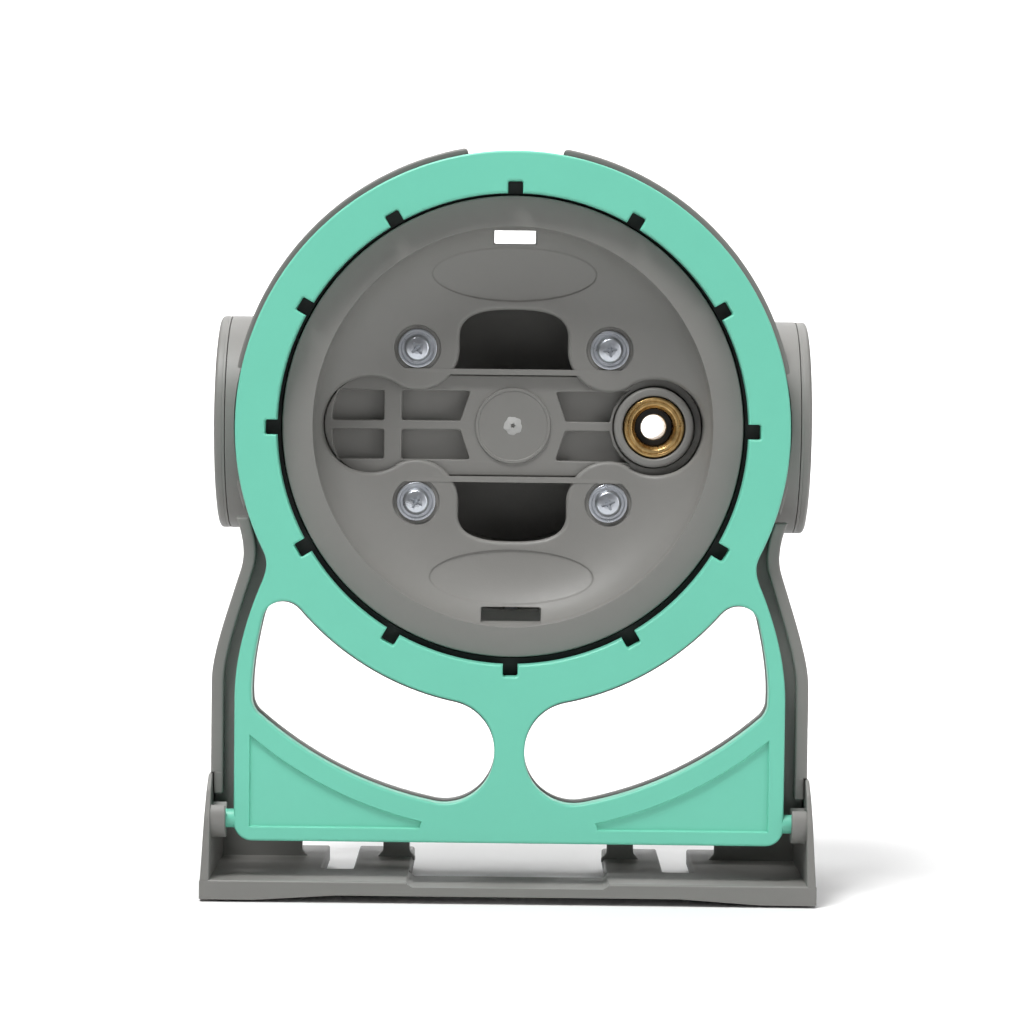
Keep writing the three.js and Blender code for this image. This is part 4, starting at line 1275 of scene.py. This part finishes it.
def build_crank():
    """The crank arm behind the drum, with its bolt, washer and knob pin."""
    near, far = CRANK_Y
    centre = (0, DRUM_Z)
    outline = arc(0, 0, 17, 0, 180, 5) + arc(0, -CRANK_R, 16, 180, 360, 5)
    recess = arc(0, -20, 11.5, 20, 160, 6) + arc(0, -CRANK_R + 20, 11, 200, 340, 6)
    recess = filleted(recess, 1.5)
    holes = [circle(0, z + DRUM_Z, 3.3, 32) for z in (0, -CRANK_R)]
    solid = plate(moved(outline, 0, DRUM_Z), holes, far, near, edge=1.8, steps=4,
                  recesses=[(moved(recess, 0, DRUM_Z), 3.2, 0.8)])
    for level in (-34, -54):
        solid.add(plate([(-11, DRUM_Z + level - 0.9), (11, DRUM_Z + level - 0.9),
                         (11, DRUM_Z + level + 0.9), (-11, DRUM_Z + level + 0.9)], [],
                        far - 0.4, far - 4, edge=0.3))
    piece("crank_arm_ribbed", solid, "grey_plastic", "drum", "crank_arm")
    low, high = span("crank_washer")
    piece("crank_flat_washer", tube(3.4, 8, low.y, high.y, 0.3, centre=centre), "zinc_steel",
          "drum", "crank_washer")
    low, high = span("crank_bolt")
    profile = [(0, low.y), (3, low.y), (3, high.y - 4), (6, high.y - 4, 0.2), (6, high.y - 2.2, 1),
               (3.6, high.y - 0.2, 1.2), (0, high.y)]
    bolt = mesh_object("crank_pan_bolt", turned(filleted(profile, 0.3, closed=False, steps=5),
                                                centre=centre, count=72))
    cut(bolt, cross_recess(*centre, high.y - 2.4, high.y + 0.5, 3.2, 12, width=1.2))
    finished(bolt, FINISHES["zinc_steel"], "drum", ["crank_bolt"], 30)
    low, high = span("knob_pin")
    profile = [(0, low.y), (3, low.y), (3, high.y - 2), (5, high.y - 2, 0.2),
               (5, high.y - 0.9, 0.6), (2, high.y, 0.5), (0, high.y)]
    piece("knob_headed_pin",
          turned(filleted(profile, 0.3, closed=False), centre=(0, DRUM_Z - CRANK_R), count=48),
          "zinc_steel", "drum", "knob_pin")


def build_knob():
    """The mint knob that turns on its pin, with shallow finger flutes."""
    low, high = span("crank_knob")
    start, end = low.y, high.y

    def flutes(a, r, w):
        share = min(1.0, max(0.0, (w - start - 5) / 8)) * min(1.0, max(0.0, (end - 6 - w) / 5))
        return -0.8 * share * (0.5 + 0.5 * math.cos(8 * a)) ** 2 if r > 8 else 0

    side = bezier((9.5, start + 1.5), (9.9, start + 12), (11.2, start + 20), (12.5, start + 26), 16)
    side += bezier((12.5, start + 26), (13.0, start + 31), (12.6, end - 3), (9.6, end - 0.6), 14)
    profile = [(3.4, start), (8.8, start), (9.5, start + 0.6)] + side
    profile += [(8.6, end), (6.0, end), (5.5, end - 0.5), (5.5, end - 4.3), (3.4, end - 4.3)]
    piece("crank_fluted_knob",
          turned(profile, centre=(0, DRUM_Z - CRANK_R), count=96, closed=True, wave=flutes),
          "mint_plastic", "knob", "crank_knob")


def build_handle(settings):
    """The fold-back handle: two arms with hub discs, caps, grip bar, sleeve and screws."""
    slope = math.radians(HANDLE_DEG)
    grip = (HANDLE_R * math.cos(slope), DRUM_Z + HANDLE_R * math.sin(slope))
    hub = (0, DRUM_Z)
    outline = arc(*grip, 15, HANDLE_DEG - 90, HANDLE_DEG + 90, 6)
    outline += arc(*hub, HUB_R, HANDLE_DEG + 22, HANDLE_DEG + 338, 4)
    for name, side in SIDES.items():
        inner, outer = side * (ARM_X[0] - 0.7), side * ARM_X[1]
        bolt_hole = circle(*hub, 5.4, 32)
        solid = plate(outline, [], outer, side * ARM_X[0], axis=along_x,
                      edge=settings.disc_edge / MM, back_edge=0.8, steps=5,
                      recesses=[(circle(*hub, 20.3, 72), 3.6, 0.3)])
        solid.add(plate(circle(*hub, HUB_R - 0.1, 96), [bolt_hole], inner, side * (ARM_X[0] + 1),
                        axis=along_x, edge=0.2, back_edge=0.1))
        piece(f"handle_arm_disc_{name}", solid, "grey_plastic", "handle", f"handle_arm_{name}")
        face = side * DISC_X
        cap = [(0, face - side * 1.2), (CAP_R, face - side * 1.2), (CAP_R, face - side * 0.5, 0.5),
               (15, face - side * 0.1, 3), (0, face)]
        piece(f"hub_round_cap_{name}",
              turned(filleted(cap, 0.2, closed=False), axis=along_x, centre=hub, count=96),
              "grey_plastic", "handle", f"hub_cap_{name}")
        tip = side * (ARM_X[1] + 2.2)
        base = side * (ARM_X[1] + 0.3)
        head = [(0, side * 110), (2, side * 110), (2, base), (4.2, base, 0.2),
                (3.9, tip - side * 0.7, 0.8), (0, tip)]
        screw = mesh_object(f"grip_pan_screw_{name}",
                            turned(filleted(head, 0.2, closed=False, steps=5), axis=along_x,
                                   centre=grip, count=56))
        cut(screw, cross_recess(*grip, tip + side * 0.4, tip - side * 1.5, 2.2, 30, axis=along_x,
                                width=0.9))
        finished(screw, FINISHES["zinc_steel"], "handle", [f"grip_screw_{name}"], 30)
        head_r, near, far = PIVOT_HEAD
        bolt = [(0, side * 117), (PIVOT_R, side * 117), (PIVOT_R, side * near),
                (head_r, side * near), (head_r, side * far), (0, side * far)]
        piece(f"pivot_headed_bolt_{name}",
              turned(filleted(bolt, 0.4, closed=False), axis=along_x, centre=hub, count=48),
              "zinc_steel", "stand", f"pivot_bolt_{name}")
    end = ARM_X[0] - 0.3
    piece("handle_grip_bar", rod(GRIP_R, -end, end, 0.8, axis=along_x, centre=grip, count=72),
          "grey_plastic", "handle", "handle_grip")
    ribs = []
    pitch = 5.2
    count = int(2 * (SLEEVE_HALF - 5) / pitch)
    start = -count * pitch / 2
    ribs.append((GRIP_R + 0.3, -SLEEVE_HALF, 0.2))
    ribs.append((SLEEVE_R, -SLEEVE_HALF, 1.2))
    for i in range(count):
        x = start + i * pitch
        ribs += [(SLEEVE_R, x, 0.5), (SLEEVE_R - 1.0, x + 0.7, 0.4),
                 (SLEEVE_R - 1.0, x + 1.6, 0.4), (SLEEVE_R, x + 2.3, 0.5)]
    ribs += [(SLEEVE_R, SLEEVE_HALF, 1.2), (GRIP_R + 0.3, SLEEVE_HALF, 0.2)]
    piece("grip_ribbed_sleeve",
          turned(filleted(ribs, 0.3, steps=3), axis=along_x, centre=grip, count=72, closed=True),
          "rubber", "handle", "grip_sleeve")


def build_frames():
    """The two grey frames, each with its windows, bearing seat and leg flanges."""
    for end, facing in (("front", -1), ("rear", 1)):
        foot = FOOT_Z[end]
        edge = moved(leg_edge(), 0, COVER_Z)
        half = [(0, foot), (CHEEK_IN - 0.3, foot), (CHEEK_IN - 0.3, CHEEK_TOP + 0.3)] + edge
        half += moved(arc(0, 0, FRAME_RING_R, -19.9, 90, 2), 0, DRUM_Z)
        holes = windows(REAR_WINDOW_SCALE, REAR_WINDOW_DROP) if facing > 0 else windows()
        holes.append(circle(0, DRUM_Z, SEAT_R, 144))
        solid = plate(symmetric(half), holes, facing * WEB_OUT, facing * WEB_IN, edge=0.7)
        inner = [(x - LEG_FLANGE, z) for x, z in reversed(edge)]
        outer = [(x + 0.02, z) for x, z in edge]
        for side in SIDES.values():
            strip = handed(tidy(outer + inner), side)
            solid.add(plate(strip, [], facing * FLANGE_OUT, facing * (WEB_IN - 0.02), edge=1.1))
            x0, x1 = sorted((side * 116, side * (CHEEK_IN - 0.35)))
            y0, y1 = sorted((facing * 24, facing * (WEB_IN + 1)))
            solid.add(block(x0, x1, y0, y1, 38, 50, 0.8))
            x0, x1 = sorted((side * (LEG_X - LEG_FLANGE), side * (CHEEK_IN - 0.35)))
            y0, y1 = sorted((facing * FLANGE_OUT, facing * WEB_IN))
            solid.add(block(x0, x1, y0, y1, 45, CHEEK_TOP + 1, 0.8))
        if facing > 0:
            for reach in REAR_RIBS:
                for side in SIDES.values():
                    lean = side * reach
                    solid.add(plate([(lean - 1, foot + 1), (lean + 1, foot + 1),
                                     (lean + 1, foot + 22), (lean - 1, foot + 22)], [],
                                    facing * (WEB_OUT + 5), facing * (WEB_OUT - 1), edge=0.6))
        piece(f"stand_frame_{end}", solid, "grey_plastic", "stand", f"frame_{end}")


def build_bearings():
    """The black nylon rings that the drum's rims turn in, each with a thin outer lip."""
    for end, facing in (("front", -1), ("rear", 1)):
        near, far = facing * (WEB_IN + 0.5), facing * (WEB_OUT + 0.15)
        lip = facing * (WEB_OUT + 1.6)
        profile = [(BEARING_R, near), (SEAT_R - 0.3, near), (SEAT_R - 0.3, far), (112.5, far),
                   (112.5, lip), (BEARING_R, lip)]
        piece(f"nylon_ring_{end}",
              turned(filleted(profile, 0.4), centre=(0, DRUM_Z), count=160, closed=True),
              "black_nylon", "stand", f"bearing_{end}")


def build_guards():
    """The round shells beside the drum, with the fixed bosses of the side hubs."""
    tip_r = (GUARD_OUT_R - GUARD_IN_R) / 2
    middle_r = GUARD_IN_R + tip_r
    top = math.radians(GUARD_TOP_DEG)
    tip = (middle_r * math.cos(top), middle_r * math.sin(top))
    shell = arc(0, 0, GUARD_OUT_R, GUARD_LOW_DEG, GUARD_TOP_DEG, 2)
    shell += arc(*tip, tip_r, GUARD_TOP_DEG, GUARD_TOP_DEG + 180, 20)[1:-1]
    shell += arc(0, 0, GUARD_IN_R, GUARD_TOP_DEG, GUARD_LOW_DEG, 2)
    shell = moved(tidy(shell), 0, DRUM_Z)
    for name, side in SIDES.items():
        solid = plate(handed(shell, side), [], -WEB_OUT + 0.1, WEB_OUT - 0.1, edge=1.0)
        boss = Solid()
        rows = []
        for r in (0.0, 16.0, 32.0, HUB_R):
            if r == 0:
                rows.append(boss.ring([(side * middle_r, 0, DRUM_Z)]) * 96)
                continue
            ring = []
            for i in range(96):
                a = 2 * math.pi * i / 96
                z = r * math.sin(a)
                ring.append((side * math.sqrt(middle_r ** 2 - z * z), r * math.cos(a), DRUM_Z + z))
            rows.append(boss.ring(ring))
        outer = filleted([(HUB_R, BOSS_X - 6, 0), (HUB_R, BOSS_X), (0, BOSS_X)], 0.25,
                         closed=False)[1:]
        for r, x in outer:
            if r < 1e-6:
                rows.append(boss.ring([(side * x, 0, DRUM_Z)]) * 96)
                continue
            rows.append(boss.ring([(side * x, r * math.cos(2 * math.pi * i / 96),
                                    DRUM_Z + r * math.sin(2 * math.pi * i / 96))
                                   for i in range(96)]))
        for first, second in zip(rows, rows[1:]):
            boss.strip(first, second)
        solid.add(boss)
        piece(f"drum_guard_{name}", solid, "grey_plastic", "stand", f"guard_{name}")


def leaned(solid):
    """Thins what lies in a cheek towards the cheek's top, so its outer face leans in."""
    for i, (x, y, z) in enumerate(solid.verts):
        beyond = abs(x) - CHEEK_IN
        if beyond > 0:
            share = min(1, max(0, (z - BASE_UNDER) / (CHEEK_TOP - BASE_UNDER)))
            solid.verts[i] = (math.copysign(CHEEK_IN + beyond * (1 - CHEEK_LEAN * share), x), y, z)
    return solid


def build_base():
    """The slotted base with its cheeks, cross wall and open pin seats."""
    half_x, front, rear = BASE_X - 0.05, BASE_LOW.y, BASE_REAR
    cheek_rear = BASE_HIGH.y
    right = [
        (0, -31), (43.5, -31, 2), (43.5, rear, 2), (69, rear, 1), (69, -28, 3), (83, -28, 3),
        (83, rear, 1), (half_x, rear, 1), (half_x, front, 1.5), (0, front),
    ]
    whole = right[1:-1] + [(-p[0], *p[1:]) for p in reversed(right[1:-1])]
    floor = mesh_object("slotted_base", plate(filleted(whole, 1), [], FLOOR_TOP, BASE_UNDER,
                                              axis=along_z, edge=1.0, back_edge=0.3))
    relief = [(-112, BASE_UNDER - 2), (112, BASE_UNDER - 2), (112, BASE_UNDER), (75, 3.4),
              (-75, 3.4), (-112, BASE_UNDER)]
    dip = [(-45.5, FLOOR_TOP + 3), (-43.6, 8.4), (-41.5, 7.2), (41.5, 7.2), (43.6, 8.4),
           (45.5, FLOOR_TOP + 3)]
    cut(floor, plate(relief, [], front - 5, cheek_rear + 5, edge=0.01, steps=1),
        plate(dip, [], front - 5, -30, edge=0.01, steps=1))
    finished(floor, FINISHES["grey_plastic"], "stand", ["base_plate"])
    cheek = [(front + 1, BASE_UNDER + 0.5, 1.2), (cheek_rear, BASE_UNDER, 1.2),
             (cheek_rear, CHEEK_TOP, 3), (-50, CHEEK_TOP, 3), (-56, 48, 4), (-61.5, 36, 8),
             (front, FLOOR_TOP, 3)]
    solid = Solid()
    holes = [circle(y, SCREW_Z_SIDE, 4.6, 40) for y in (-SCREW_Y, SCREW_Y)]
    wall = [(-CHEEK_IN - 1, 8)]
    for start, end in ((-94, -57), (-45, 45), (57, 94)):
        wall += [(start + 2.5, 8, 0), (start + 2.5, FLOOR_TOP, 0), (start, FLOOR_TOP + 2.8, 2.5),
                 (start, 26, 1.6), (end, 26, 1.6), (end, FLOOR_TOP + 2.8, 2.5),
                 (end - 2.5, FLOOR_TOP, 0), (end - 2.5, 8, 0)]
    wall += [(CHEEK_IN + 1, 8), (CHEEK_IN + 1, 34), (-CHEEK_IN - 1, 34)]
    solid.add(plate(filleted(wall, 0), [], 10, 14, edge=0.7))
    for side in SIDES.values():
        solid.add(plate(filleted(cheek, 1, steps=6), holes, side * BASE_X, side * CHEEK_IN,
                        axis=along_x, edge=0.9))
        for y in (-SCREW_Y, SCREW_Y):
            sink = [(2.3, side * (CHEEK_IN + 0.2)), (4.7, side * (CHEEK_IN + 0.2)),
                    (4.7, side * (BASE_X - 1.2)), (4.3, side * (BASE_X - 0.9)),
                    (2.3, side * (BASE_X - 2.8))]
            solid.add(turned(sink, axis=along_x, centre=(y, SCREW_Z_SIDE), count=40, closed=True))
        seat = arc(PIN_Y, PIN_Z, PIN_SEAT_R, 130, 410, 6)
        bore = arc(PIN_Y, PIN_Z, PIN_R + 0.3, 410, 130, 8)
        solid.add(plate(seat + bore, [], side * SEAT_FACE_X, side * (CHEEK_IN + 1), axis=along_x,
                        edge=0.6))
    piece("base_cheeks_and_wall", leaned(solid), "grey_plastic", "stand")


def build_feet():
    """The four round rubber feet."""
    for end in ("front", "rear"):
        for name in SIDES:
            low, high = span(f"foot_{end}_{name}")
            middle = (low + high) / 2
            profile = filleted([(0, 0), (8.2, 0, 0.8), (9, 1.1, 0.6), (9, high.z),
                                (0, high.z)], 0.2, closed=False)
            piece(f"rubber_foot_{end}_{name}",
                  turned(profile, axis=along_z, centre=(middle.x, middle.y), count=56),
                  "rubber", "stand", f"foot_{end}_{name}")


def build_side_screws():
    """The countersunk screws in the cheeks."""
    for name, side in SIDES.items():
        for end, y, turn in (("front", -SCREW_Y, 15), ("rear", SCREW_Y, 52)):
            low, high = span(f"side_screw_{end}_{name}")
            tip, face = (low.x, high.x) if side > 0 else (high.x, low.x)
            profile = [(0, tip), (2, tip), (2, face - side * 2.4), (3.9, face - side * 0.3, 0.2),
                       (3.9, face, 0.2), (0, face - side * 0.05)]
            screw = mesh_object(f"cheek_screw_{end}_{name}",
                                leaned(turned(filleted(profile, 0.15, closed=False), axis=along_x,
                                              centre=(y, SCREW_Z_SIDE), count=56)))
            cut(screw, leaned(cross_recess(y, SCREW_Z_SIDE, face + side * 0.4, face - side * 1.5,
                                           2.3, turn, axis=along_x, width=0.85)))
            finished(screw, FINISHES["zinc_steel"], "stand",
                     [f"side_screw_{end}_{name}"], 30)


def dress_nodes():
    """Gives every node of the frame its own finish; the pieces stand in for all of them."""
    slots = {part["node"]: part["material_slot"] for part in frame["record"]["subparts"]}
    for name, node in frame["nodes"].items():
        node.data.materials.clear()
        node.data.materials.append(FINISHES[slots[name]])


def build_stage(settings):
    """A plain pale floor with soft studio light, and the camera."""
    scene = bpy.context.scene
    mesh = bpy.data.meshes.new("floor")
    reach, back, height, sweep = 3.0, 2.2, 2.6, 0.7
    profile = [(-reach, 0.0)] + [(back - sweep + sweep * math.sin(a), sweep - sweep * math.cos(a))
                                 for a in (math.pi / 2 * k / 16 for k in range(17))]
    profile.append((back, height))
    points = []
    for y, z in profile:
        points += [(-reach, y, z), (reach, y, z)]
    quads = [(2 * i, 2 * i + 1, 2 * i + 3, 2 * i + 2) for i in range(len(profile) - 1)]
    mesh.from_pydata(points, [], quads)
    mesh.shade_smooth()
    floor = bpy.data.objects.new("floor", mesh)
    scene.collection.objects.link(floor)
    material, tree, shader = start_material("pale_floor")
    shade = mix_colour(tree, noise(tree, 1.3, 2.0), tuple(settings.floor_colour),
                       tuple(c * 0.985 for c in settings.floor_colour))
    tree.links.new(shade, shader.inputs["Base Color"])
    shader.inputs["Roughness"].default_value = 0.9
    shader.inputs["Specular IOR Level"].default_value = 0.1
    mesh.materials.append(material)

    world = bpy.data.worlds.new("studio")
    world.use_nodes = True
    world.node_tree.nodes["Background"].inputs["Color"].default_value = (1, 1, 1, 1)
    world.node_tree.nodes["Background"].inputs["Strength"].default_value = settings.ambient
    scene.world = world
    scene.view_settings.view_transform = "Standard"

    middle = Vector((0, MID_Y, 0.17))
    lamps = (
        ("key_light", (-0.45, -0.75, 1.8), 0.6, middle, settings.key_power),
        ("fill_light", (1.5, -1.2, 0.5), 1.2, middle, settings.fill_power),
        ("top_light", (0.1, 0.15, 1.9), 1.3, middle, settings.top_power),
        ("wall_light", (0, 0.9, 1.5), 1.2, Vector((0, 2.1, 0.3)), settings.wall_power),
    )
    for name, place, size, target, power in lamps:
        data = bpy.data.lights.new(name, "AREA")
        data.shape = "SQUARE"
        data.size = size
        data.energy = power
        lamp = bpy.data.objects.new(name, data)
        lamp.location = place
        lamp.rotation_euler = (target - lamp.location).to_track_quat("-Z", "Y").to_euler()
        scene.collection.objects.link(lamp)

    data = bpy.data.cameras.new("camera")
    data.lens = settings.lens
    data.sensor_width = 36
    data.clip_start = 0.05
    camera = bpy.data.objects.new("camera", data)
    camera.location = (settings.camera_x, settings.camera_y, settings.camera_z)
    camera.rotation_mode = "XYZ"
    camera.rotation_euler = (math.pi / 2 - settings.camera_pitch, settings.camera_roll,
                             settings.camera_yaw)
    scene.collection.objects.link(camera)
    scene.camera = camera


# ---------------------------------------------------------------- settings and operators

def colour_setting(name, description, default):
    return FloatVectorProperty(name=name, description=description, default=default, size=3,
                               min=0, max=1, subtype="COLOR")


def length_setting(name, description, default):
    return FloatProperty(name=name, description=description, default=default, min=0,
                         subtype="DISTANCE", unit="LENGTH")


def angle_setting(name, description, default):
    return FloatProperty(name=name, description=description, default=default, subtype="ANGLE",
                         unit="ROTATION")


def record_colour(slot):
    entry = next(m for m in frame["record"]["materials"] if m["slot"] == slot)
    return tuple(entry["base_color"][:3])


class HoseReelFinishes(bpy.types.PropertyGroup):
    """Colours of the reel's finishes."""

    mint: colour_setting("Mint plastic", "Colour of the cover and knob",
                         record_colour("mint_plastic"))
    grey: colour_setting("Grey plastic", "Colour of the drum, stand and handle",
                         record_colour("grey_plastic"))
    black: colour_setting("Black nylon", "Colour of the bearing rings",
                          record_colour("black_nylon"))
    zinc: colour_setting("Zinc", "Colour of the plated screws", record_colour("zinc_steel"))
    brass: colour_setting("Brass", "Colour of the hose connector", record_colour("brass"))
    rubber: colour_setting("Rubber", "Colour of the feet and the sleeve", record_colour("rubber"))


class HoseReelSizes(bpy.types.PropertyGroup):
    """Edge sizes of the reel's pieces."""

    cover_edge: length_setting("Cover edge", "Radius of the cover's front edges", 0.0011)
    disc_edge: length_setting("Disc edge", "Radius of the hub discs' outer edges", 0.0016)


class HoseReelStage(bpy.types.PropertyGroup):
    """Light, floor and camera."""

    floor_colour: colour_setting("Floor", "Colour of the floor and backdrop", (0.9, 0.9, 0.9))
    ambient: FloatProperty(name="Ambient", description="Strength of the even light", default=0.16,
                           min=0)
    key_power: FloatProperty(name="Key light", description="Power of the main light", default=34,
                             min=0, unit="POWER")
    fill_power: FloatProperty(name="Fill light", description="Power of the side light",
                              default=8, min=0, unit="POWER")
    wall_power: FloatProperty(name="Wall light", description="Power of the light on the backdrop",
                              default=40, min=0, unit="POWER")
    top_power: FloatProperty(name="Top light", description="Power of the light above",
                             default=9, min=0, unit="POWER")
    lens: FloatProperty(name="Lens", description="Focal length of the camera in millimetres",
                        default=121.2, min=1)
    camera_x: length_setting("Camera X", "Camera position to the right", 0.0)
    camera_y: FloatProperty(name="Camera Y", description="Camera position front to back",
                            default=-1.61, subtype="DISTANCE", unit="LENGTH")
    camera_z: length_setting("Camera height", "Camera height above the floor", 0.241)
    camera_pitch: angle_setting("Pitch", "Downward tilt of the camera", math.radians(2.684))
    camera_roll: angle_setting("Roll", "Roll of the camera", math.radians(-0.65))
    camera_yaw: angle_setting("Yaw", "Turn of the camera to the left", math.radians(0.03))


class HOSEREEL_OT_cover(bpy.types.Operator):
    """Builds the mint front cover"""

    bl_idname = "hose_reel.cover"
    bl_label = "Front cover"
    bl_options = {"REGISTER", "UNDO"}

    def execute(self, context):
        prepare_finishes()
        build_cover(context.scene.hose_reel_sizes)
        return {"FINISHED"}


class HOSEREEL_OT_front_dish(bpy.types.Operator):
    """Builds the dished front of the drum"""

    bl_idname = "hose_reel.front_dish"
    bl_label = "Front dish"
    bl_options = {"REGISTER", "UNDO"}

    def execute(self, context):
        prepare_finishes()
        build_front_dish()
        return {"FINISHED"}


class HOSEREEL_OT_rear_dish(bpy.types.Operator):
    """Builds the dished rear of the drum"""

    bl_idname = "hose_reel.rear_dish"
    bl_label = "Rear dish"
    bl_options = {"REGISTER", "UNDO"}

    def execute(self, context):
        prepare_finishes()
        build_rear_dish()
        return {"FINISHED"}


class HOSEREEL_OT_core(bpy.types.Operator):
    """Builds the hollow core that the hose winds on"""

    bl_idname = "hose_reel.core"
    bl_label = "Drum core"
    bl_options = {"REGISTER", "UNDO"}

    def execute(self, context):
        prepare_finishes()
        build_core()
        return {"FINISHED"}


class HOSEREEL_OT_bridge(bpy.types.Operator):
    """Builds the ribbed bridge across the drum's face"""

    bl_idname = "hose_reel.bridge"
    bl_label = "Hub bridge"
    bl_options = {"REGISTER", "UNDO"}

    def execute(self, context):
        prepare_finishes()
        build_bridge()
        return {"FINISHED"}


class HOSEREEL_OT_connector(bpy.types.Operator):
    """Builds the brass connector, its collar, washer and nut"""

    bl_idname = "hose_reel.connector"
    bl_label = "Hose connector"
    bl_options = {"REGISTER", "UNDO"}

    def execute(self, context):
        prepare_finishes()
        build_connector()
        return {"FINISHED"}


class HOSEREEL_OT_drum_screws(bpy.types.Operator):
    """Builds the four screws and washers in the drum's face"""

    bl_idname = "hose_reel.drum_screws"
    bl_label = "Drum screws"
    bl_options = {"REGISTER", "UNDO"}

    def execute(self, context):
        prepare_finishes()
        build_drum_screws()
        return {"FINISHED"}


class HOSEREEL_OT_crank(bpy.types.Operator):
    """Builds the crank arm with its bolt, washer and pin"""

    bl_idname = "hose_reel.crank"
    bl_label = "Crank arm"
    bl_options = {"REGISTER", "UNDO"}

    def execute(self, context):
        prepare_finishes()
        build_crank()
        return {"FINISHED"}


class HOSEREEL_OT_knob(bpy.types.Operator):
    """Builds the mint knob of the crank"""

    bl_idname = "hose_reel.knob"
    bl_label = "Crank knob"
    bl_options = {"REGISTER", "UNDO"}

    def execute(self, context):
        prepare_finishes()
        build_knob()
        return {"FINISHED"}


class HOSEREEL_OT_handle(bpy.types.Operator):
    """Builds the fold-back handle and its hub discs"""

    bl_idname = "hose_reel.handle"
    bl_label = "Carry handle"
    bl_options = {"REGISTER", "UNDO"}

    def execute(self, context):
        prepare_finishes()
        build_handle(context.scene.hose_reel_sizes)
        return {"FINISHED"}


class HOSEREEL_OT_frames(bpy.types.Operator):
    """Builds the two grey frames of the stand"""

    bl_idname = "hose_reel.frames"
    bl_label = "Stand frames"
    bl_options = {"REGISTER", "UNDO"}

    def execute(self, context):
        prepare_finishes()
        build_frames()
        return {"FINISHED"}


class HOSEREEL_OT_bearings(bpy.types.Operator):
    """Builds the two black rings that the drum turns in"""

    bl_idname = "hose_reel.bearings"
    bl_label = "Bearing rings"
    bl_options = {"REGISTER", "UNDO"}

    def execute(self, context):
        prepare_finishes()
        build_bearings()
        return {"FINISHED"}


class HOSEREEL_OT_guards(bpy.types.Operator):
    """Builds the round shells beside the drum"""

    bl_idname = "hose_reel.guards"
    bl_label = "Drum guards"
    bl_options = {"REGISTER", "UNDO"}

    def execute(self, context):
        prepare_finishes()
        build_guards()
        return {"FINISHED"}


class HOSEREEL_OT_base(bpy.types.Operator):
    """Builds the slotted base with its cheeks and cross wall"""

    bl_idname = "hose_reel.base"
    bl_label = "Base"
    bl_options = {"REGISTER", "UNDO"}

    def execute(self, context):
        prepare_finishes()
        build_base()
        return {"FINISHED"}


class HOSEREEL_OT_feet(bpy.types.Operator):
    """Builds the four rubber feet"""

    bl_idname = "hose_reel.feet"
    bl_label = "Rubber feet"
    bl_options = {"REGISTER", "UNDO"}

    def execute(self, context):
        prepare_finishes()
        build_feet()
        return {"FINISHED"}


class HOSEREEL_OT_side_screws(bpy.types.Operator):
    """Builds the four screws in the cheeks"""

    bl_idname = "hose_reel.side_screws"
    bl_label = "Side screws"
    bl_options = {"REGISTER", "UNDO"}

    def execute(self, context):
        prepare_finishes()
        build_side_screws()
        return {"FINISHED"}


class HOSEREEL_OT_frame_nodes(bpy.types.Operator):
    """Gives the frame's own nodes their finishes"""

    bl_idname = "hose_reel.frame_nodes"
    bl_label = "Frame nodes"
    bl_options = {"REGISTER", "UNDO"}

    def execute(self, context):
        prepare_finishes()
        dress_nodes()
        return {"FINISHED"}


class HOSEREEL_OT_stage(bpy.types.Operator):
    """Builds the floor, the light and the camera"""

    bl_idname = "hose_reel.stage"
    bl_label = "Stage"
    bl_options = {"REGISTER", "UNDO"}

    def execute(self, context):
        build_stage(context.scene.hose_reel_stage)
        return {"FINISHED"}


STEPS = (
    HOSEREEL_OT_cover,
    HOSEREEL_OT_front_dish,
    HOSEREEL_OT_rear_dish,
    HOSEREEL_OT_core,
    HOSEREEL_OT_bridge,
    HOSEREEL_OT_connector,
    HOSEREEL_OT_drum_screws,
    HOSEREEL_OT_crank,
    HOSEREEL_OT_knob,
    HOSEREEL_OT_handle,
    HOSEREEL_OT_frames,
    HOSEREEL_OT_bearings,
    HOSEREEL_OT_guards,
    HOSEREEL_OT_base,
    HOSEREEL_OT_feet,
    HOSEREEL_OT_side_screws,
    HOSEREEL_OT_frame_nodes,
    HOSEREEL_OT_stage,
)


class HOSEREEL_PT_panel(bpy.types.Panel):
    """Lists the reel's settings and building steps."""

    bl_label = "Hose Reel"
    bl_idname = "HOSEREEL_PT_panel"
    bl_space_type = "VIEW_3D"
    bl_region_type = "UI"
    bl_category = "Hose Reel"

    def draw(self, context):
        layout = self.layout
        for settings in (context.scene.hose_reel_sizes, context.scene.hose_reel_finishes,
                         context.scene.hose_reel_stage):
            box = layout.box()
            for name in settings.bl_rna.properties.keys():
                if name not in ("rna_type", "name"):
                    box.prop(settings, name)
        for step in STEPS:
            layout.operator(step.bl_idname, text=step.bl_label)


SETTINGS = {
    "hose_reel_sizes": HoseReelSizes,
    "hose_reel_finishes": HoseReelFinishes,
    "hose_reel_stage": HoseReelStage,
}


def register():
    for name, group in SETTINGS.items():
        bpy.utils.register_class(group)
        setattr(bpy.types.Scene, name, PointerProperty(type=group))
    for step in STEPS:
        bpy.utils.register_class(step)
    bpy.utils.register_class(HOSEREEL_PT_panel)


def unregister():
    bpy.utils.unregister_class(HOSEREEL_PT_panel)
    for step in reversed(STEPS):
        bpy.utils.unregister_class(step)
    for name, group in reversed(SETTINGS.items()):
        delattr(bpy.types.Scene, name)
        bpy.utils.unregister_class(group)


def main():
    """Registers the add-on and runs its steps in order."""
    register()
    for step in STEPS:
        group, name = step.bl_idname.split(".")
        getattr(getattr(bpy.ops, group), name)()
    bpy.context.view_layer.update()


if __name__ == "__main__":
    main()
